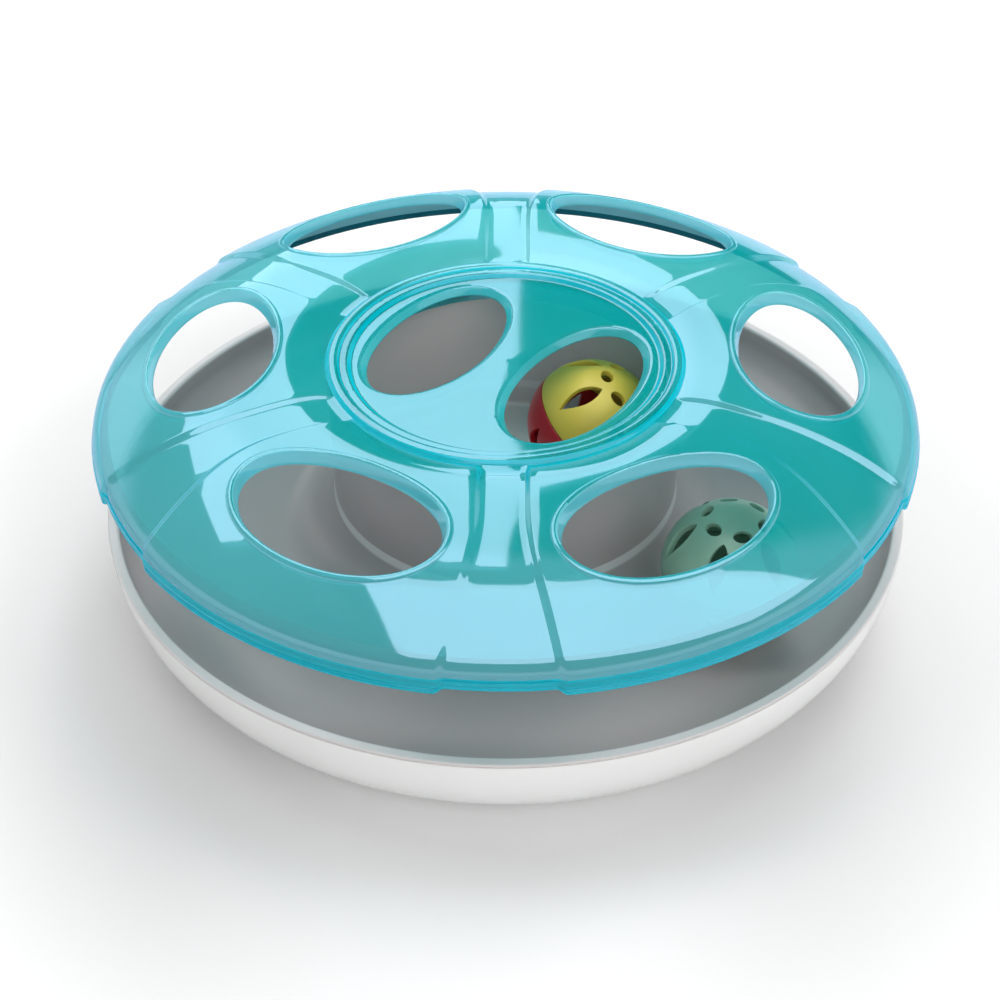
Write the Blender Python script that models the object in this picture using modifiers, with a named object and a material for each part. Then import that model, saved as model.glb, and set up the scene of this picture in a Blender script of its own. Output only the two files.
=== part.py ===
"""Cat ball track toy: a saucer-shaped bowl with an annular ball track and a central
well, two slotted rattle balls, and a translucent domed lid with paw windows that plugs
into the hub over the well.

Metres, +Z up. The origin is on the table, under the toy's axis.
"""
import math

import bmesh
import bpy
from mathutils import Matrix, Vector

# General
CLEARANCE = 0.0003          # running or seating gap between two pieces that touch
ROUND_STEPS = 48            # facets round the bowl
LID_STEPS = 48              # facets round the lid
BALL_STEPS = 20             # facets round a ball
BELL_STEPS = 12             # facets round a bell
OVAL_STEPS = 28             # facets round a window

# Bowl
RIM_R = 0.120               # inner radius of the bowl's rim
RIM_W = 0.0026              # width of the tray's flange over the rim
BOWL_H = 0.0345             # foot to rim
BOWL_CURVE_W = 0.031        # how far the outer wall curves in to the foot
SHELL_T = 0.002             # wall of the white shell
FOOT_W = 0.0186             # width of the flat foot ring
FLOOR_RISE = 0.0015         # the shell's floor is this much above its foot
FLANGE_T = 0.0016           # thickness of the tray's flange

# Feet
PAD_R = 0.007
PAD_T = 0.0012
PAD_COUNT = 4
PAD_FIRST_ANGLE = 45.0

# Tray
TRAY_T = 0.0016             # floor thickness of the tray
TRACK_DEPTH = 0.016         # rim to track floor
TRACK_OUTER_FILLET = 0.0208 # radial reach of the curve up to the rim
TRAY_WALL_DROP = 0.003      # the straight part of the tray's outer wall
TRAY_DRAFT = 0.0012         # how far that wall leans in
HUB_R = 0.053               # outer radius of the hub
HUB_FILLET = 0.019          # curve between hub and track floor
HUB_WALL = 0.0026
WELL_DEPTH = 0.008          # rim to well floor
WELL_FILLET = 0.002

# Screws and bosses under the tray
SCREW_COUNT = 4
SCREW_FIRST_ANGLE = math.pi / ROUND_STEPS
SCREW_R_POS = 0.062         # radius of the screw circle
SCREW_SHANK_R = 0.0014
SCREW_HEAD_R = 0.0030
SCREW_HEAD_T = 0.0018
SCREW_SOCKET_R = 0.0013
SCREW_SOCKET_DEPTH = 0.0009
SCREW_TIP_GAP = 0.0008      # screw tip to the end of its pilot hole
BOSS_R = 0.0042
BOSS_SINK = 0.0010          # how far the tray's boss runs into the tray's floor
PILOT_STOP = 0.0006         # floor left over the pilot hole
SHELL_BOSS_R = 0.0055
SHELL_BOSS_H = 0.0050       # height of the shell's boss above the underside of its floor
COUNTERBORE_DEPTH = 0.0036

# Lid
MOUTH_GAP = 0.025           # open height between the rim and the lid's edge
LID_EDGE_R = RIM_R + 0.0035 # the lid stands just past the rim
LID_H = 0.0238              # lid's edge to the top of its crown
LID_T = 0.0024              # wall of the lid
EDGE_BEAD_H = 0.0043        # height of the bead round the lid's edge
EDGE_BEAD_W = 0.0004        # how far the bead stands out
EDGE_ROLL_W = 0.0035        # the dome rolls over to the bead within this width
CROWN_DROP = 0.0141         # crown to the start of the roll
CROWN_INNER_DROP = 0.0036   # crown to the groove round the centre ring
CROWN_INNER_W = 0.0264      # groove to the crown
RING_R = 0.0510             # top of the raised centre ring
RING_GROOVE_W = 0.0025
RING_RISE = 0.0011          # ring above its groove
DISC_R = 0.0478             # radius of the flat centre disc
DISC_DROP = 0.0022          # ring to disc
SKIRT_L = 0.0078            # skirt below the lid at the hub
SKIRT_T = 0.0020
SKIRT_CLEARANCE = 0.0005

# Windows and bands of the lid
WINDOW_COUNT = 6
WINDOW_INNER_MARGIN = 0.0158
WINDOW_OUTER_MARGIN = 0.0187
WINDOW_SIDE_MARGIN = 0.00835
BAND_INNER_HALF_W = 0.0067  # half width of a band, from the ring to where it flares
BAND_FLARE_W = 0.0037       # the curved flare adds this much to the half width
BAND_FLARE_R = 0.0750       # the bands flare from this radius out
BAND_STRAIGHT_R = 0.1030    # and run straight from this one
BAND_DEPTH = 0.0012         # how far the bands lie below the panels
BAND_FADE_W = 0.002         # the bands reach their depth within this width of the groove
BAND_LIFT = 0.0015          # the bands' edge is this much higher than the panels'
HOLE_FLARE = 0.0022         # a hole's edge flares out by this much through the lid
BEAD_W = 0.0014             # bead round a window
BEAD_RISE = 0.0006          # bead above the panel
EYE_OFFSET = 0.0236         # centre holes: offset from the axis
EYE_LONG_R = 0.0305
EYE_SHORT_R = 0.0162
EYE_ANGLE = math.radians(-29.4)

# Balls
BALL_R = 0.020
BALL_T = 0.0018
SEAM_GAP = 0.0003
TONGUE_T = 0.00075          # the two halves lap by a tongue of this thickness
TONGUE_L = 0.0014
SLOTS_PER_HALF = 6
TEAR_FAT_POLAR = math.radians(35.5)
TEAR_TIP_POLAR = math.radians(74.0)
TEAR_FAT_R = 0.0025
OVAL_POLAR = math.radians(25.4)
OVAL_LONG_R = 0.0024
OVAL_SHORT_R = 0.0018
TRACK_ORBIT_R = 0.0810
TRACK_ORBIT_ANGLE = math.radians(-36.0)
WELL_BALL_GAP = 0.0012      # the well ball to the well's wall
WELL_ORBIT_ANGLE = math.radians(23.7)
TRACK_BALL_POLE = Vector((0.02, 0.015, 1.0))
TRACK_BALL_PHASE = math.radians(188.5)
WELL_BALL_POLE = Vector((0.613, -0.093, 0.785))
WELL_BALL_PHASE = math.radians(209.1)

# Bells inside the balls
BELL_R = 0.0062
BELL_SEAT_GAP = 0.0005      # bell to the ball's faceted inner wall
BELL_T = 0.0006
BELL_FLANGE_W = 0.0007
BELL_FLANGE_T = 0.0006
BELL_SLOT_W = 0.0012
BELL_SLOT_L = 0.0100
PELLET_R = 0.0018

# Levels worked out from the sizes above
FOOT_Z = PAD_T + CLEARANCE
RIM_Z = FOOT_Z + BOWL_H
OUTER_R = RIM_R + RIM_W
FOOT_R = OUTER_R - BOWL_CURVE_W
TRACK_Z = RIM_Z - TRACK_DEPTH
WELL_Z = RIM_Z - WELL_DEPTH
WELL_R = HUB_R - HUB_WALL
LID_EDGE_Z = RIM_Z + MOUTH_GAP
CROWN_Z = LID_EDGE_Z + LID_H
BEAD_TOP_Z = LID_EDGE_Z + EDGE_BEAD_H
GROOVE_R = RING_R + RING_GROOVE_W
GROOVE_Z = CROWN_Z - CROWN_INNER_DROP
RING_Z = GROOVE_Z + RING_RISE
DISC_Z = RING_Z - DISC_DROP
CROWN_R = GROOVE_R + CROWN_INNER_W
ROLL_R = LID_EDGE_R - EDGE_ROLL_W
NECK_R = LID_EDGE_R - EDGE_BEAD_W
WELL_ORBIT_R = WELL_R - WELL_BALL_GAP - BALL_R
HUB_TOP_Z = GROOVE_Z - LID_T - CLEARANCE
SHELL_FLOOR_Z = FOOT_Z + FLOOR_RISE
WINDOW_SHORT_R = (LID_EDGE_R - GROOVE_R - WINDOW_INNER_MARGIN - WINDOW_OUTER_MARGIN) / 2
WINDOW_R = GROOVE_R + WINDOW_INNER_MARGIN + WINDOW_SHORT_R
WINDOW_LONG_R = WINDOW_R * math.pi / WINDOW_COUNT - BAND_INNER_HALF_W - WINDOW_SIDE_MARGIN

parts = None
cutters = None


def clear_scene():
    for item in list(bpy.data.objects):
        bpy.data.objects.remove(item, do_unlink=True)


def new_collection(name):
    collection = bpy.data.collections.new(name)
    bpy.context.scene.collection.children.link(collection)
    return collection


def material(name, color, roughness, metallic=0.0, transmission=0.0):
    mat = bpy.data.materials.get(name) or bpy.data.materials.new(name)
    mat.use_nodes = True
    shader = mat.node_tree.nodes["Principled BSDF"]
    shader.inputs["Base Color"].default_value = (*color, 1.0)
    shader.inputs["Roughness"].default_value = roughness
    shader.inputs["Metallic"].default_value = metallic
    shader.inputs["Transmission Weight"].default_value = transmission
    return mat


def white_plastic():
    return material("white_plastic", (0.88, 0.88, 0.87), 0.35)


def grey_plastic():
    return material("grey_plastic", (0.42, 0.42, 0.43), 0.30)


def teal_clear():
    return material("teal_clear", (0.05, 0.62, 0.66), 0.08, transmission=0.9)


def rubber():
    return material("grey_rubber", (0.20, 0.20, 0.20), 0.80)


def steel():
    return material("steel", (0.60, 0.60, 0.60), 0.35, metallic=1.0)


def brass():
    return material("brass", (0.70, 0.55, 0.25), 0.30, metallic=1.0)


def mint_plastic():
    return material("mint_plastic", (0.20, 0.40, 0.27), 0.40)


def yellow_plastic():
    return material("yellow_plastic", (0.60, 0.48, 0.05), 0.40)


def red_plastic():
    return material("red_plastic", (0.35, 0.01, 0.02), 0.40)


def add_object(name, bm, mat=None):
    """Turn a bmesh into an object; without a material it becomes a cutter."""
    mesh = bpy.data.meshes.new(name)
    bm.to_mesh(mesh)
    bm.free()
    obj = bpy.data.objects.new(name, mesh)
    if mat is None:
        cutters.objects.link(obj)
        obj.hide_render = True
        obj.display_type = "WIRE"
    else:
        parts.objects.link(obj)
        mesh.materials.append(mat)
        mesh.shade_smooth()
        mesh.set_sharp_from_angle(angle=math.radians(30.0))
    return obj


def arc(centre_r, centre_z, radius_r, radius_z, start, end, steps):
    """Points on an elliptic arc in the (radius, height) plane, angles in degrees."""
    points = []
    for i in range(steps + 1):
        angle = math.radians(start + (end - start) * i / steps)
        points.append((centre_r + radius_r * math.cos(angle),
                       centre_z + radius_z * math.sin(angle)))
    return points


def turned(name, profile, mat, steps, closed=False):
    """A turned solid: the (radius, height) profile screwed about Z. An open profile
    starts and ends on the axis; it runs down its outer side."""
    bm = bmesh.new()
    verts = [bm.verts.new((r, 0.0, z)) for r, z in profile]
    for first, second in zip(verts, verts[1:]):
        bm.edges.new((first, second))
    if closed:
        bm.edges.new((verts[-1], verts[0]))
    obj = add_object(name, bm, mat)
    screw = obj.modifiers.new("turn", "SCREW")
    screw.axis = "Z"
    screw.steps = steps
    screw.render_steps = steps
    screw.use_merge_vertices = True
    screw.merge_threshold = 0.00001
    screw.use_smooth_shade = True
    return obj


def boolean(obj, other, operation):
    cut = obj.modifiers.new(other.name, "BOOLEAN")
    cut.operation = operation
    cut.solver = "EXACT"
    cut.object = other
    return cut


def add_cylinder(bm, centre, radius, low, high, steps):
    """A capped upright cylinder between two heights."""
    place = Matrix.Translation((centre[0], centre[1], (low + high) / 2))
    bmesh.ops.create_cone(bm, cap_ends=True, segments=steps, radius1=radius,
                          radius2=radius, depth=high - low, matrix=place)


def on_circle(radius, angle):
    return (radius * math.cos(angle), radius * math.sin(angle))


def circle_angles(count, first=0.0):
    return [first + 2 * math.pi * i / count for i in range(count)]


# Bowl

def shell_profile():
    wall_top = RIM_Z - FLANGE_T - CLEARANCE
    outer = arc(FOOT_R, wall_top, BOWL_CURVE_W, wall_top - FOOT_Z, 0, -90, 7)
    foot_inner_r = FOOT_R - FOOT_W
    under = [(foot_inner_r, FOOT_Z), (foot_inner_r - FLOOR_RISE, SHELL_FLOOR_Z), (0.0, SHELL_FLOOR_Z)]
    floor = [(0.0, SHELL_FLOOR_Z + SHELL_T), (foot_inner_r - FLOOR_RISE, SHELL_FLOOR_Z + SHELL_T),
             (foot_inner_r + SHELL_T - FLOOR_RISE, FOOT_Z + SHELL_T)]
    inner = arc(FOOT_R, wall_top, BOWL_CURVE_W - SHELL_T, wall_top - FOOT_Z - SHELL_T, -90, 0, 5)
    return outer + under + floor + inner


def base_shell():
    """The white outer bowl, with screw bosses on its floor."""
    shell = turned("base_shell", shell_profile(), white_plastic(), ROUND_STEPS, closed=True)
    bosses = bmesh.new()
    counterbores = bmesh.new()
    bores = bmesh.new()
    boss_top = SHELL_FLOOR_Z + SHELL_BOSS_H
    for angle in circle_angles(SCREW_COUNT, SCREW_FIRST_ANGLE):
        spot = on_circle(SCREW_R_POS, angle)
        add_cylinder(bosses, spot, SHELL_BOSS_R, SHELL_FLOOR_Z + SHELL_T / 2, boss_top, 12)
        add_cylinder(counterbores, spot, SCREW_HEAD_R + CLEARANCE, SHELL_FLOOR_Z - SHELL_T,
                     SHELL_FLOOR_Z + COUNTERBORE_DEPTH, 12)
        add_cylinder(bores, spot, SCREW_SHANK_R + CLEARANCE, SHELL_FLOOR_Z - SHELL_T, boss_top + SHELL_T, 8)
    boolean(shell, add_object("shell_bosses", bosses), "UNION")
    boolean(shell, add_object("shell_counterbores", counterbores), "DIFFERENCE")
    boolean(shell, add_object("shell_bores", bores), "DIFFERENCE")
    return shell


def tray_profile():
    wall_top = RIM_Z - TRAY_WALL_DROP
    wall_r = RIM_R - TRAY_DRAFT
    curve_r = wall_r - TRACK_OUTER_FILLET
    top = [(OUTER_R, RIM_Z), (RIM_R, RIM_Z), (RIM_R - TRAY_DRAFT / 2, RIM_Z - TRAY_DRAFT / 2)]
    top += arc(curve_r, wall_top, TRACK_OUTER_FILLET, wall_top - TRACK_Z, 0, -90, 5)
    hub_curve_r = HUB_R + HUB_FILLET
    top += arc(hub_curve_r, TRACK_Z + HUB_FILLET, HUB_FILLET, HUB_FILLET, -90, -180, 5)
    top += [(HUB_R, HUB_TOP_Z), (WELL_R, HUB_TOP_Z), (WELL_R, WELL_Z + WELL_FILLET),
            (WELL_R - WELL_FILLET, WELL_Z), (0.0, WELL_Z)]
    well_under_z = WELL_Z - TRAY_T
    start = math.degrees(math.asin((TRACK_Z + HUB_FILLET - well_under_z) / (HUB_FILLET + TRAY_T)))
    under = [(0.0, well_under_z)]
    under += arc(hub_curve_r, TRACK_Z + HUB_FILLET, HUB_FILLET + TRAY_T, HUB_FILLET + TRAY_T,
                 -180 + start, -90, 3)
    under += arc(curve_r, wall_top, TRACK_OUTER_FILLET + TRAY_T, wall_top - TRACK_Z + TRAY_T, -90, 0, 4)
    under += [(wall_r + TRAY_T, RIM_Z - FLANGE_T), (OUTER_R, RIM_Z - FLANGE_T)]
    return top + under


def tray_underside_z(radius):
    """Height of the tray's underside where it curves up to the hub."""
    reach = HUB_FILLET + TRAY_T
    inward = min(max(HUB_R + HUB_FILLET - radius, 0.0), reach)
    return TRACK_Z + HUB_FILLET - math.sqrt(reach * reach - inward * inward)


def pilot_top_z():
    return tray_underside_z(SCREW_R_POS + BOSS_R) - PILOT_STOP


def track_tray():
    """The grey insert: rim flange, ball track, hub and centre well in one moulding."""
    tray = turned("track_tray", list(reversed(tray_profile())), grey_plastic(), ROUND_STEPS, closed=True)
    bosses = bmesh.new()
    pilots = bmesh.new()
    boss_low = SHELL_FLOOR_Z + SHELL_BOSS_H + CLEARANCE
    boss_high = tray_underside_z(SCREW_R_POS + BOSS_R) + BOSS_SINK
    for angle in circle_angles(SCREW_COUNT, SCREW_FIRST_ANGLE):
        spot = on_circle(SCREW_R_POS, angle)
        add_cylinder(bosses, spot, BOSS_R, boss_low, boss_high, 12)
        add_cylinder(pilots, spot, SCREW_SHANK_R + CLEARANCE, boss_low - TRAY_T, pilot_top_z(), 8)
    boolean(tray, add_object("tray_bosses", bosses), "UNION")
    boolean(tray, add_object("tray_pilots", pilots), "DIFFERENCE")
    return tray


def tray_screws():
    """Pan-head screws, up through the shell's floor into the tray's bosses."""
    head_top = SHELL_FLOOR_Z + COUNTERBORE_DEPTH - CLEARANCE
    head_low = head_top - SCREW_HEAD_T
    for index, angle in enumerate(circle_angles(SCREW_COUNT, SCREW_FIRST_ANGLE)):
        spot = on_circle(SCREW_R_POS, angle)
        name = "tray_screw_%d" % (index + 1)
        shank = bmesh.new()
        add_cylinder(shank, spot, SCREW_SHANK_R, head_top - SCREW_HEAD_T / 2,
                     pilot_top_z() - SCREW_TIP_GAP, 8)
        head = bmesh.new()
        add_cylinder(head, spot, SCREW_HEAD_R, head_low, head_top, 12)
        socket = bmesh.new()
        add_cylinder(socket, spot, SCREW_SOCKET_R, head_low - SCREW_HEAD_T,
                     head_low + SCREW_SOCKET_DEPTH, 6)
        screw = add_object(name, shank, steel())
        boolean(screw, add_object(name + "_head", head), "UNION")
        boolean(screw, add_object(name + "_socket", socket), "DIFFERENCE")


def foot_pads():
    """Round non-slip pads under the foot ring."""
    pad_circle_r = FOOT_R - FOOT_W / 2
    for index, angle in enumerate(circle_angles(PAD_COUNT, math.radians(PAD_FIRST_ANGLE))):
        bm = bmesh.new()
        add_cylinder(bm, (0.0, 0.0), PAD_R, 0.0, PAD_T, 16)
        pad = add_object("foot_pad_%d" % (index + 1), bm, rubber())
        pad.location = (*on_circle(pad_circle_r, angle), 0.0)
        edge = pad.modifiers.new("edge", "BEVEL")
        edge.width = PAD_T / 4
        edge.segments = 1
        edge.limit_method = "ANGLE"


# Lid

def crown_z(radius):
    """Height of the lid's panels: a parabola each side of the crown."""
    if radius <= CROWN_R:
        return CROWN_Z - CROWN_INNER_DROP * ((CROWN_R - radius) / CROWN_INNER_W) ** 2
    return CROWN_Z - CROWN_DROP * ((radius - CROWN_R) / (ROLL_R - CROWN_R)) ** 2


def crown_points(first_r, last_r, steps, offset):
    points = []
    for i in range(steps + 1):
        radius = first_r + (last_r - first_r) * i / steps
        points.append((radius, crown_z(radius) + offset))
    return points


def roll_points(depth, steps):
    """The roll from the dome down to the bead, depth under the outer face."""
    slope = 2 * CROWN_DROP / (ROLL_R - CROWN_R)
    wall_r = NECK_R - depth
    start = (ROLL_R, crown_z(ROLL_R) - depth)
    corner = (wall_r, start[1] - slope * (wall_r - ROLL_R))
    points = []
    for i in range(1, steps + 1):
        t = i / steps
        points.append(tuple((1 - t) ** 2 * a + 2 * t * (1 - t) * b + t * t * c
                            for a, b, c in zip(start, corner, (wall_r, BEAD_TOP_Z))))
    return points


def lid_profile():
    skirt_r = WELL_R - SKIRT_CLEARANCE
    under_z = GROOVE_Z - LID_T
    inner_lip_r = LID_EDGE_R - LID_T
    top = [(0.0, DISC_Z), (DISC_R, DISC_Z), (RING_R - RING_GROOVE_W / 2, RING_Z), (RING_R, RING_Z)]
    top += crown_points(GROOVE_R, CROWN_R, 2, 0.0)
    top += crown_points(CROWN_R, ROLL_R, 6, 0.0)[1:] + roll_points(0.0, 3)
    top += [(LID_EDGE_R, BEAD_TOP_Z - EDGE_BEAD_W), (LID_EDGE_R, LID_EDGE_Z)]
    under = [(inner_lip_r, LID_EDGE_Z), (inner_lip_r, BEAD_TOP_Z)]
    under += list(reversed(crown_points(CROWN_R, ROLL_R - LID_T, 4, -LID_T)))
    under += list(reversed(crown_points(GROOVE_R, CROWN_R, 1, -LID_T)))[1:]
    under += [(skirt_r, under_z), (skirt_r, under_z - SKIRT_L), (skirt_r - SKIRT_T, under_z - SKIRT_L),
              (skirt_r - SKIRT_T, DISC_Z - LID_T), (0.0, DISC_Z - LID_T)]
    return top + under


def eye_places():
    """Centres and turns of the two centre holes."""
    for angle in (EYE_ANGLE, EYE_ANGLE + math.pi):
        yield on_circle(EYE_OFFSET, angle), angle


def window_places():
    for angle in circle_angles(WINDOW_COUNT):
        yield on_circle(WINDOW_R, angle), angle


def crown_level(offset):
    return lambda radius: crown_z(radius) + offset


def flat_level(height):
    return lambda radius: height


def disc_level(offset):
    return flat_level(DISC_Z + offset)


def oval_ring(bm, place, short, long, level, first=0.0):
    """Vertices round an oval; level gives each one its height from its radius."""
    centre, turn = place
    verts = []
    for angle in circle_angles(OVAL_STEPS, first):
        spot = Matrix.Rotation(turn, 2) @ Vector((short * math.cos(angle), long * math.sin(angle)))
        spot += Vector(centre)
        verts.append(bm.verts.new((spot.x, spot.y, level(spot.length))))
    return verts


def loft(bm, rings, closed):
    """Skin rings of vertices; an open stack gets a flat face at each end."""
    pairs = list(zip(rings, rings[1:]))
    if closed:
        pairs.append((rings[-1], rings[0]))
    else:
        bm.faces.new(rings[0])
        bm.faces.new(rings[-1])
    for first, second in pairs:
        for i in range(len(first)):
            j = (i + 1) % len(first)
            bm.faces.new((first[i], first[j], second[j], second[i]))


def hole_cutters(name, places, short, long, surface):
    """Flared oval cutters: the hole's own size through the lid's underside, wider by
    HOLE_FLARE at its top. surface(offset) gives the level that far from the top face."""
    bm = bmesh.new()
    for place in places:
        rings = []
        for extra, level in ((0.0, flat_level(LID_EDGE_Z)), (0.0, surface(-LID_T)),
                             (HOLE_FLARE, surface(2 * BEAD_RISE)),
                             (HOLE_FLARE, flat_level(CROWN_Z + 2 * LID_T))):
            rings.append(oval_ring(bm, place, short + extra, long + extra, level, math.pi / OVAL_STEPS))
        loft(bm, rings, closed=False)
    bmesh.ops.recalc_face_normals(bm, faces=bm.faces)
    return add_object(name, bm)


def window_beads():
    """Raised rings round the windows, sunk into the lid below."""
    bm = bmesh.new()
    inner = HOLE_FLARE / 2
    outer = HOLE_FLARE + BEAD_W
    for place in window_places():
        rings = []
        for extra, offset in ((outer, -LID_T / 2), (outer, BEAD_RISE), (inner, BEAD_RISE), (inner, -LID_T / 2)):
            level = crown_level(offset)
            rings.append(oval_ring(bm, place, WINDOW_SHORT_R + extra, WINDOW_LONG_R + extra, level))
        loft(bm, rings, closed=True)
    bmesh.ops.recalc_face_normals(bm, faces=bm.faces)
    return add_object("window_beads", bm)


def band_half_width(radius):
    flare = BAND_STRAIGHT_R - BAND_FLARE_R
    share = max(radius - BAND_FLARE_R, 0.0) / flare
    if share <= 1.0:
        return BAND_INNER_HALF_W + BAND_FLARE_W * share * share
    return BAND_INNER_HALF_W + BAND_FLARE_W * (2.0 * share - 1.0)


def band_prisms(first_r, last_r, low, high):
    """Upright prisms over the six bands, which flare towards the lid's edge."""
    bm = bmesh.new()
    steps = 10
    for middle in circle_angles(WINDOW_COUNT, math.pi / WINDOW_COUNT):
        sides = ([], [])
        for i in range(steps + 1):
            radius = first_r + (last_r - first_r) * i / steps
            half = math.asin(band_half_width(radius) / radius)
            for side, sign in zip(sides, (1, -1)):
                side.append((*on_circle(radius, middle + sign * half), low))
        verts = [bm.verts.new(spot) for spot in sides[0] + sides[1][::-1]]
        face = bm.faces.new(verts)
        raised = bmesh.ops.extrude_face_region(bm, geom=[face])["geom"]
        bmesh.ops.translate(bm, verts=[item for item in raised if isinstance(item, bmesh.types.BMVert)],
                            vec=(0.0, 0.0, high - low))
    bmesh.ops.recalc_face_normals(bm, faces=bm.faces)
    return add_object("band_prisms", bm)


def band_valleys():
    """Six shallow cuts between the raised panels, from the groove to the lid's edge."""
    first_r = GROOVE_R + CLEARANCE
    outside_r = LID_EDGE_R + LID_T
    inside_r = LID_EDGE_R - 2 * LID_T
    lifted_z = LID_EDGE_Z + BAND_LIFT
    below_z = LID_EDGE_Z - LID_T
    above_z = CROWN_Z + LID_T
    floor = [(first_r, crown_z(first_r) + CLEARANCE)]
    floor += crown_points(first_r + BAND_FADE_W, ROLL_R, 7, -BAND_DEPTH)
    floor += roll_points(BAND_DEPTH, 3)
    floor += [(floor[-1][0], lifted_z), (inside_r, lifted_z), (inside_r, below_z)]
    ring = [(first_r, above_z), (outside_r, above_z), (outside_r, below_z)] + floor[::-1]
    blank = turned("band_ring", ring, None, LID_STEPS, closed=True)
    prisms = band_prisms(first_r - LID_T, outside_r + LID_T, below_z - LID_T, above_z + LID_T)
    boolean(blank, prisms, "INTERSECT")
    return blank


def lid():
    """The translucent domed lid, with paw windows, two centre holes and a skirt that
    plugs into the hub."""
    dome = turned("lid", lid_profile(), teal_clear(), LID_STEPS)
    windows = hole_cutters("windows", window_places(), WINDOW_SHORT_R, WINDOW_LONG_R, crown_level)
    eyes = hole_cutters("centre_holes", eye_places(), EYE_SHORT_R, EYE_LONG_R, disc_level)
    boolean(dome, band_valleys(), "DIFFERENCE")
    boolean(dome, window_beads(), "UNION")
    boolean(dome, windows, "DIFFERENCE")
    boolean(dome, eyes, "DIFFERENCE")
    return dome


# Balls

def teardrop_outline(steps=5):
    """A drop in its own plane: round end at +X, point at -X, with straight flanks."""
    length = (TEAR_TIP_POLAR - TEAR_FAT_POLAR) * BALL_R
    centre = length / 2 - TEAR_FAT_R
    flank = math.acos(TEAR_FAT_R / (length - TEAR_FAT_R))
    points = [(-length / 2, 0.0)]
    for i in range(steps + 1):
        angle = -(math.pi - flank) + 2 * (math.pi - flank) * i / steps
        points.append((centre + TEAR_FAT_R * math.cos(angle), TEAR_FAT_R * math.sin(angle)))
    return points


def oval_outline(steps=8):
    points = []
    for angle in circle_angles(steps):
        points.append((OVAL_SHORT_R * math.cos(angle), OVAL_LONG_R * math.sin(angle)))
    return points


def slot_cutter(bm, outline, polar, azimuth):
    """A flat outline, laid on the ball at (polar, azimuth) and driven through its wall.
    The outline's +X points at the pole."""
    low = BALL_R - 3 * BALL_T
    high = BALL_R + BALL_T
    place = Matrix.Rotation(azimuth, 4, "Z") @ Matrix.Rotation(polar, 4, "Y")
    place = place @ Matrix.Rotation(math.pi, 4, "Z")
    bottom = [bm.verts.new(place @ Vector((x, y, low))) for x, y in outline]
    face = bm.faces.new(bottom)
    result = bmesh.ops.extrude_face_region(bm, geom=[face])
    raised = [item for item in result["geom"] if isinstance(item, bmesh.types.BMVert)]
    bmesh.ops.translate(bm, verts=raised, vec=place.to_3x3() @ Vector((0.0, 0.0, high - low)))


def ball_half_profile(tongue):
    """Half a ball about its pole, pole up. One half has the tongue inside, the other
    the rebate that takes it."""
    inner_r = BALL_R - BALL_T
    tongue_r = inner_r + TONGUE_T
    seam = SEAM_GAP / 2
    outer = arc(0.0, 0.0, BALL_R, BALL_R, 90, math.degrees(math.asin(seam / BALL_R)), 4)
    if tongue:
        step = [(tongue_r, seam), (tongue_r, -TONGUE_L)]
        first = -math.degrees(math.asin(TONGUE_L / inner_r))
    else:
        depth = seam + TONGUE_L + CLEARANCE
        step = [(tongue_r + CLEARANCE, seam), (tongue_r + CLEARANCE, depth)]
        first = math.degrees(math.asin(depth / inner_r))
    inner = arc(0.0, 0.0, inner_r, inner_r, first, 90, 4)
    profile = outer + step + inner
    profile[0] = (0.0, BALL_R)
    profile[-1] = (0.0, inner_r)
    return profile


def ball_half(name, mat, tongue):
    half = turned(name, ball_half_profile(tongue), mat, BALL_STEPS)
    slots = bmesh.new()
    step = 2 * math.pi / SLOTS_PER_HALF
    for azimuth in circle_angles(SLOTS_PER_HALF):
        slot_cutter(slots, teardrop_outline(), (TEAR_FAT_POLAR + TEAR_TIP_POLAR) / 2, azimuth)
        slot_cutter(slots, oval_outline(), OVAL_POLAR, azimuth + step / 2)
    bmesh.ops.recalc_face_normals(slots, faces=slots.faces)
    cutter = add_object(name + "_slots", slots)
    boolean(half, cutter, "DIFFERENCE")
    return half, cutter


def ball_frame(name, orbit_r, orbit_angle, floor_z):
    """An empty at the ball's centre, on the axes that the ball circles and rolls about."""
    empty = bpy.data.objects.new(name, None)
    parts.objects.link(empty)
    empty.location = (*on_circle(orbit_r, orbit_angle), floor_z + CLEARANCE + BALL_R)
    return empty


def pole_matrix(pole, phase):
    """Turns local +Z to the pole, with local +X at the phase angle round it from +X."""
    z_axis = pole.normalized()
    y_axis = z_axis.cross(Vector((1.0, 0.0, 0.0))).normalized()
    axes = Matrix((y_axis.cross(z_axis), y_axis, z_axis)).transposed().to_4x4()
    return axes @ Matrix.Rotation(phase, 4, "Z")


def ball(prefix, frame, pole, phase, materials, names):
    turn = pole_matrix(pole, phase)
    flip = turn @ Matrix.Rotation(math.pi, 4, "X")
    for name, mat, tongue, place in zip(names, materials, (True, False), (turn, flip)):
        for piece in ball_half(prefix + name, mat, tongue):
            piece.parent = frame
            piece.matrix_local = place


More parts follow.
